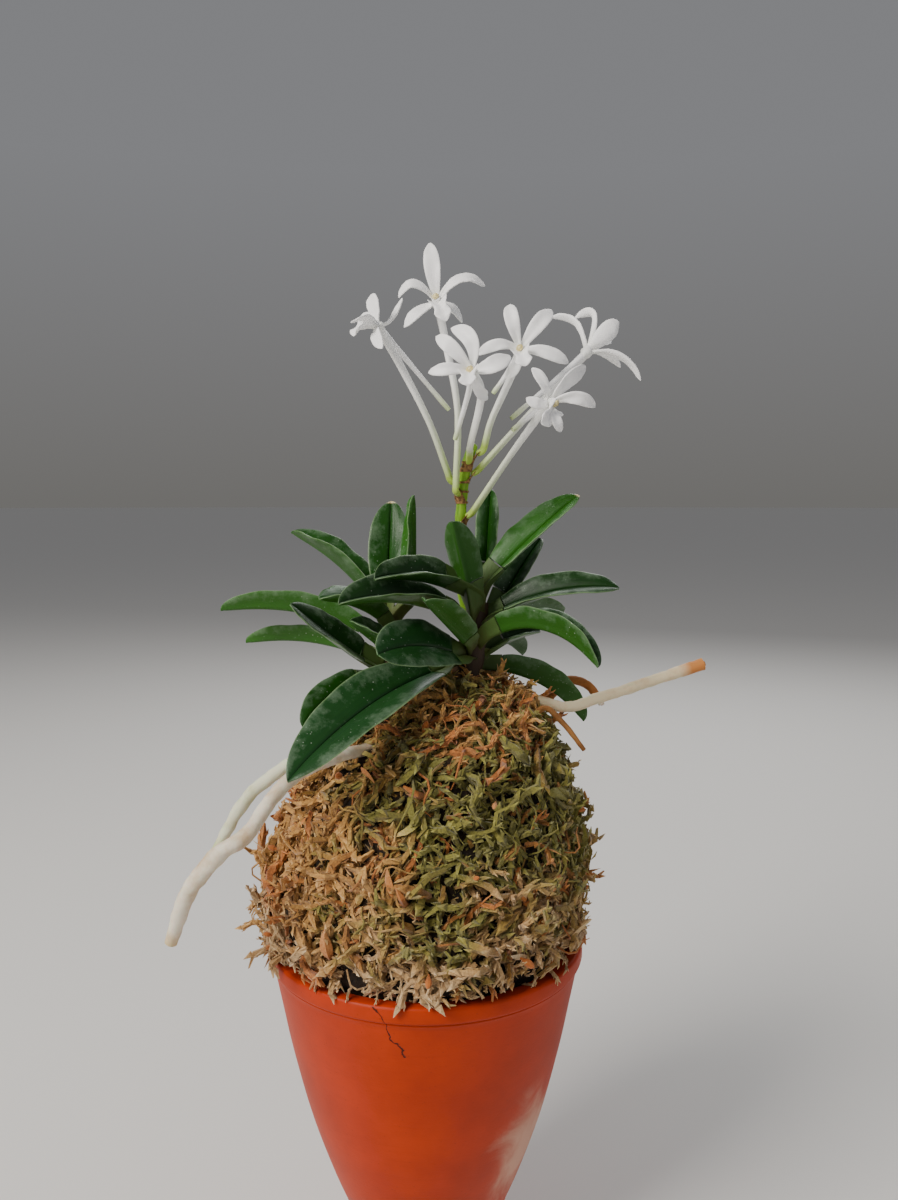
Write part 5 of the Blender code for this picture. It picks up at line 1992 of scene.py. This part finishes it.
@dataclass
class MossMound:
    """The sphagnum: a packed core in the pot and over it, and layers of strands on it."""

    # The mound's outline from the rim up, as height, radius and shift to the right.
    rings: tuple = ((98.5, 41.4, 0.0), (102.0, 43.2, -0.5), (109.0, 44.0, -1.0),
                    (119.0, 43.2, 0.0), (130.0, 40.6, 1.5), (142.0, 36.0, 2.5),
                    (153.0, 30.0, 4.0), (161.0, 20.0, 7.0), (166.0, 10.5, 10.0))
    top: Point = (11.0, 0.0, 169.0)
    plug_levels: tuple = (10.0, 22.0, 36.0, 52.0, 70.0, 92.6)
    neck_levels: tuple = (96.5, 98.6)
    plug_gap: float = 0.6
    sink: float = 3.5
    lumps: float = 2.0
    steps: int = 4
    sides: int = 90
    finish: DriedSphagnum = field(default_factory=DriedSphagnum)

    def skin(self, sink: float) -> list[list[Vector]]:
        """Return the rings of the open mound, which wander in and out.

        Args:
            sink: How far inside the mound's outline they lie.

        Returns:
            The rings, from the rim to the top.
        """
        columns = (spread(column, self.steps) for column in zip(*self.rings))
        made = []
        for height, radius, shift in zip(*columns):
            ring = []
            for k in range(self.sides):
                angle = math.tau * k / self.sides
                around = Vector((math.cos(angle), math.sin(angle), 0))
                reach = radius - sink + self.lumps * noise.noise(
                    around * 2 + Vector((0, 0, height / 15)))
                reach += 0.4 * self.lumps * noise.noise(around * 7 + Vector((5, 0, height / 5)))
                ring.append(Vector((shift, 0, height)) + around * max(1.0, reach))
            made.append(ring)
        return made

    def core(self, pot: Pot) -> None:
        """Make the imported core, from the pot's floor to the top of the mound.

        Args:
            pot: The pot that holds the moss.
        """
        walls = [(pot.radius(height), height) for height in self.plug_levels]
        walls += [(pot.rim_radius, height) for height in self.neck_levels]
        plug = [level_ring(radius - pot.wall - self.plug_gap, height, self.sides)
                for radius, height in walls]
        shell = Shell()
        shell.loft(plug + self.skin(self.sink)[1:])
        hand_in(shell.build("moss_core", MOSS_CORE.material()), Slot.MOSS, "moss_mound")

    def bed(self, heights: Span, sink: float) -> bpy.types.Object:
        """Make the surface that a layer grows on.

        Args:
            heights: The lowest and highest height in millimetres.
            sink: How far inside the mound's outline it lies.

        Returns:
            An open surface with its faces outwards.
        """
        rings = [ring for ring in self.skin(sink) if heights[0] <= ring[0].z <= heights[1]]
        points = [place * MM for ring in rings for place in ring]
        count = self.sides
        faces = [(r * count + k, r * count + (k + 1) % count,
                  (r + 1) * count + (k + 1) % count, (r + 1) * count + k)
                 for r in range(len(rings) - 1) for k in range(count)]
        if heights[1] >= self.rings[-1][0]:
            points.append(Vector(self.top) * MM)
            last = (len(rings) - 1) * count
            faces += [(last + k, last + (k + 1) % count, len(points) - 1) for k in range(count)]
        mesh = bpy.data.meshes.new("moss_bed")
        mesh.from_pydata(points, [], faces)
        return put_in_scene("moss_bed", mesh)

    def grow(self, layer: MossLayer, tree: bpy.types.NodeTree, plant: bpy.types.Object,
             material: Material) -> None:
        """Grow one layer and turn it into a plain mesh.

        Args:
            layer: The layer's strands and sizes.
            tree: The node tree that grows it.
            plant: What the strands keep clear of.
            material: The moss's finish.
        """
        group = bpy.data.collections.new(layer.name + "_strands")
        for number, shape in enumerate(layer.shapes):
            name = f"{layer.name}_strand_{number:02d}"
            group.objects.link(bpy.data.objects.new(name, shape.mesh(name)))
        bed = self.bed(layer.heights, layer.sink)
        growth = bed.modifiers.new("growth", "NODES")
        growth.node_group = tree
        keys = {item.name: item.identifier for item in tree.interface.items_tree
                if item.in_out == "INPUT"}
        values = {
            "Strands": group, "Plant": plant, "Spacing": layer.spacing * MM, "Seed": layer.seed,
            "Lift": layer.lift, "Droop": layer.droop, "Smallest": layer.size[0],
            "Largest": layer.size[1], "Lowest tint": layer.tint[0],
            "Highest tint": layer.tint[1], "Clearance": layer.clearance * MM,
            "Length": layer.shapes[0].length * MM, "Finish": material,
        }
        for name, value in values.items():
            growth[keys[name]] = value
        mesh = evaluated_mesh(bed)
        mesh.name = layer.name
        piece = put_in_scene(layer.name, mesh)
        bpy.data.objects.remove(bed, do_unlink=True)
        for strand in list(group.objects):
            bpy.data.objects.remove(strand, do_unlink=True)
        bpy.data.collections.remove(group)
        hand_in(piece, Slot.MOSS)

    def build(self, pot: Pot) -> None:
        """Make the core and every layer.

        Args:
            pot: The pot that holds the moss.
        """
        self.core(pot)
        free = (None, Slot.MOSS.value, Slot.FLOWER.value)
        guide = bmesh.new()
        for piece in bpy.context.scene.objects:
            if piece.type == "MESH" and not piece.hide_render and piece.get("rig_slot") not in free:
                guide.from_mesh(piece.data)
        plant = put_in_scene("plant_guide", plain_mesh("plant_guide", guide))
        tree = LayerGraph().build()
        material = self.finish.material()
        for layer in MOSS_LAYERS:
            self.grow(layer, tree, plant, material)
        bpy.data.objects.remove(plant, do_unlink=True)


@dataclass
class Studio:
    """A pale floor, soft light and the photograph's camera."""

    camera_at: Point = (6.1, -261.7, 214.6)
    pitch_down: float = 5.7
    lens_mm: float = 30.0
    clip_start_m: float = 0.01
    floor_radius_m: float = 30.0
    aim_m: Point = (0.0, 0.0, 0.15)
    backdrop: tuple = ((0.0, "#b2b0ac"), (1.0, "#cdced2"))
    backdrop_strength: float = 0.36

    def floor(self) -> None:
        """Lay a plain pale floor."""
        disc = bmesh.new()
        bmesh.ops.create_circle(disc, cap_ends=True, segments=96, radius=self.floor_radius_m)
        mesh = plain_mesh("floor", disc)
        paper = Surface("floor_matt_paper", Roughness=0.9, Base_Color=linear("#dedcd8"))
        mesh.materials.append(paper.material)
        floor = put_in_scene("floor", mesh)

    def lamp(self, name: str, place: Point, size: float, watts: float, code: str) -> None:
        """Hang one soft lamp that looks at the plant.

        Args:
            name: The lamp's name.
            place: Its place in metres.
            size: The side of its panel in metres.
            watts: Its power.
            code: Its colour.
        """
        data = bpy.data.lights.new(name, "AREA")
        data.size = size
        data.energy = watts
        data.color = linear(code)[:3]
        lamp = put_in_scene(name, data)
        lamp.location = place
        towards = Vector(self.aim_m) - Vector(place)
        lamp.rotation_euler = towards.to_track_quat("-Z", "Y").to_euler()

    def sky(self) -> None:
        """Give the backdrop a tone that lightens a little with height."""
        world = bpy.data.worlds.new("studio_backdrop")
        world.use_nodes = True
        graph = Graph(world.node_tree)
        place = graph.add("ShaderNodeTexCoord", out="Generated")
        rise = graph.add(RANGE, {"Value": graph.add(AXES, {0: place}, "Z"), "From Min": 0.0,
                                 "From Max": 0.3})
        colour = graph.add(RAMP, {"Fac": rise}, stops=self.backdrop)
        background = graph.tree.nodes["Background"].inputs
        graph.tree.links.new(colour, background["Color"])
        background["Strength"].default_value = self.backdrop_strength
        bpy.context.scene.world = world

    def build(self) -> None:
        """Set up the floor, the lamps, the backdrop's tone and the camera."""
        self.floor()
        self.lamp("key_lamp", (-0.62, -0.55, 0.8), 0.45, 13.5, "#fff9f2")
        self.lamp("fill_lamp", (0.8, -0.5, 0.45), 0.9, 0.8, "#f4f6ff")
        self.lamp("back_lamp", (0.25, 0.75, 0.8), 0.6, 5.0, "#ffffff")
        self.sky()
        data = bpy.data.cameras.new("camera")
        data.lens = self.lens_mm
        data.clip_start = self.clip_start_m
        camera = put_in_scene("camera", data)
        camera.location = Vector(self.camera_at) * MM
        camera.rotation_euler = (math.radians(90 - self.pitch_down), 0, 0)
        bpy.context.scene.camera = camera


def main() -> None:
    """Build the pot, both shoots, the roots, the flowers, the moss and the studio."""
    logging.basicConfig(level=logging.INFO, format="%(message)s")
    Studio().build()
    pot = Pot()
    pot.build()
    leaf_finish = LeatheryLeaf().material()
    sheath_finish = LEAF_BASES.material()
    Shoot("crown_main", ((9.5, -1, 152), (10.5, -1, 166), (12.5, -0.5, 178), (14, 0.5, 188)),
          (3.6, 4.2, 3.6, 2.6), MAIN_LEAVES, 172.5).build(leaf_finish, sheath_finish)
    Shoot("crown_left", ((-8, 0, 148), (-9.5, 0, 162), (-10.5, 0.5, 172), (-9.5, 1, 182)),
          (3.2, 3.8, 3.4, 2.4), SHOOT_LEAVES, 167.5).build(leaf_finish, sheath_finish)
    for root in ROOTS:
        root.build()
    stalk = FlowerStalk()
    stalk.build(FLOWERS)
    petal_finish = CrystallinePetal().material()
    for flower in FLOWERS:
        flower.build(petal_finish, stalk)
    MossMound().build(pot)


if __name__ == "__main__":
    main()
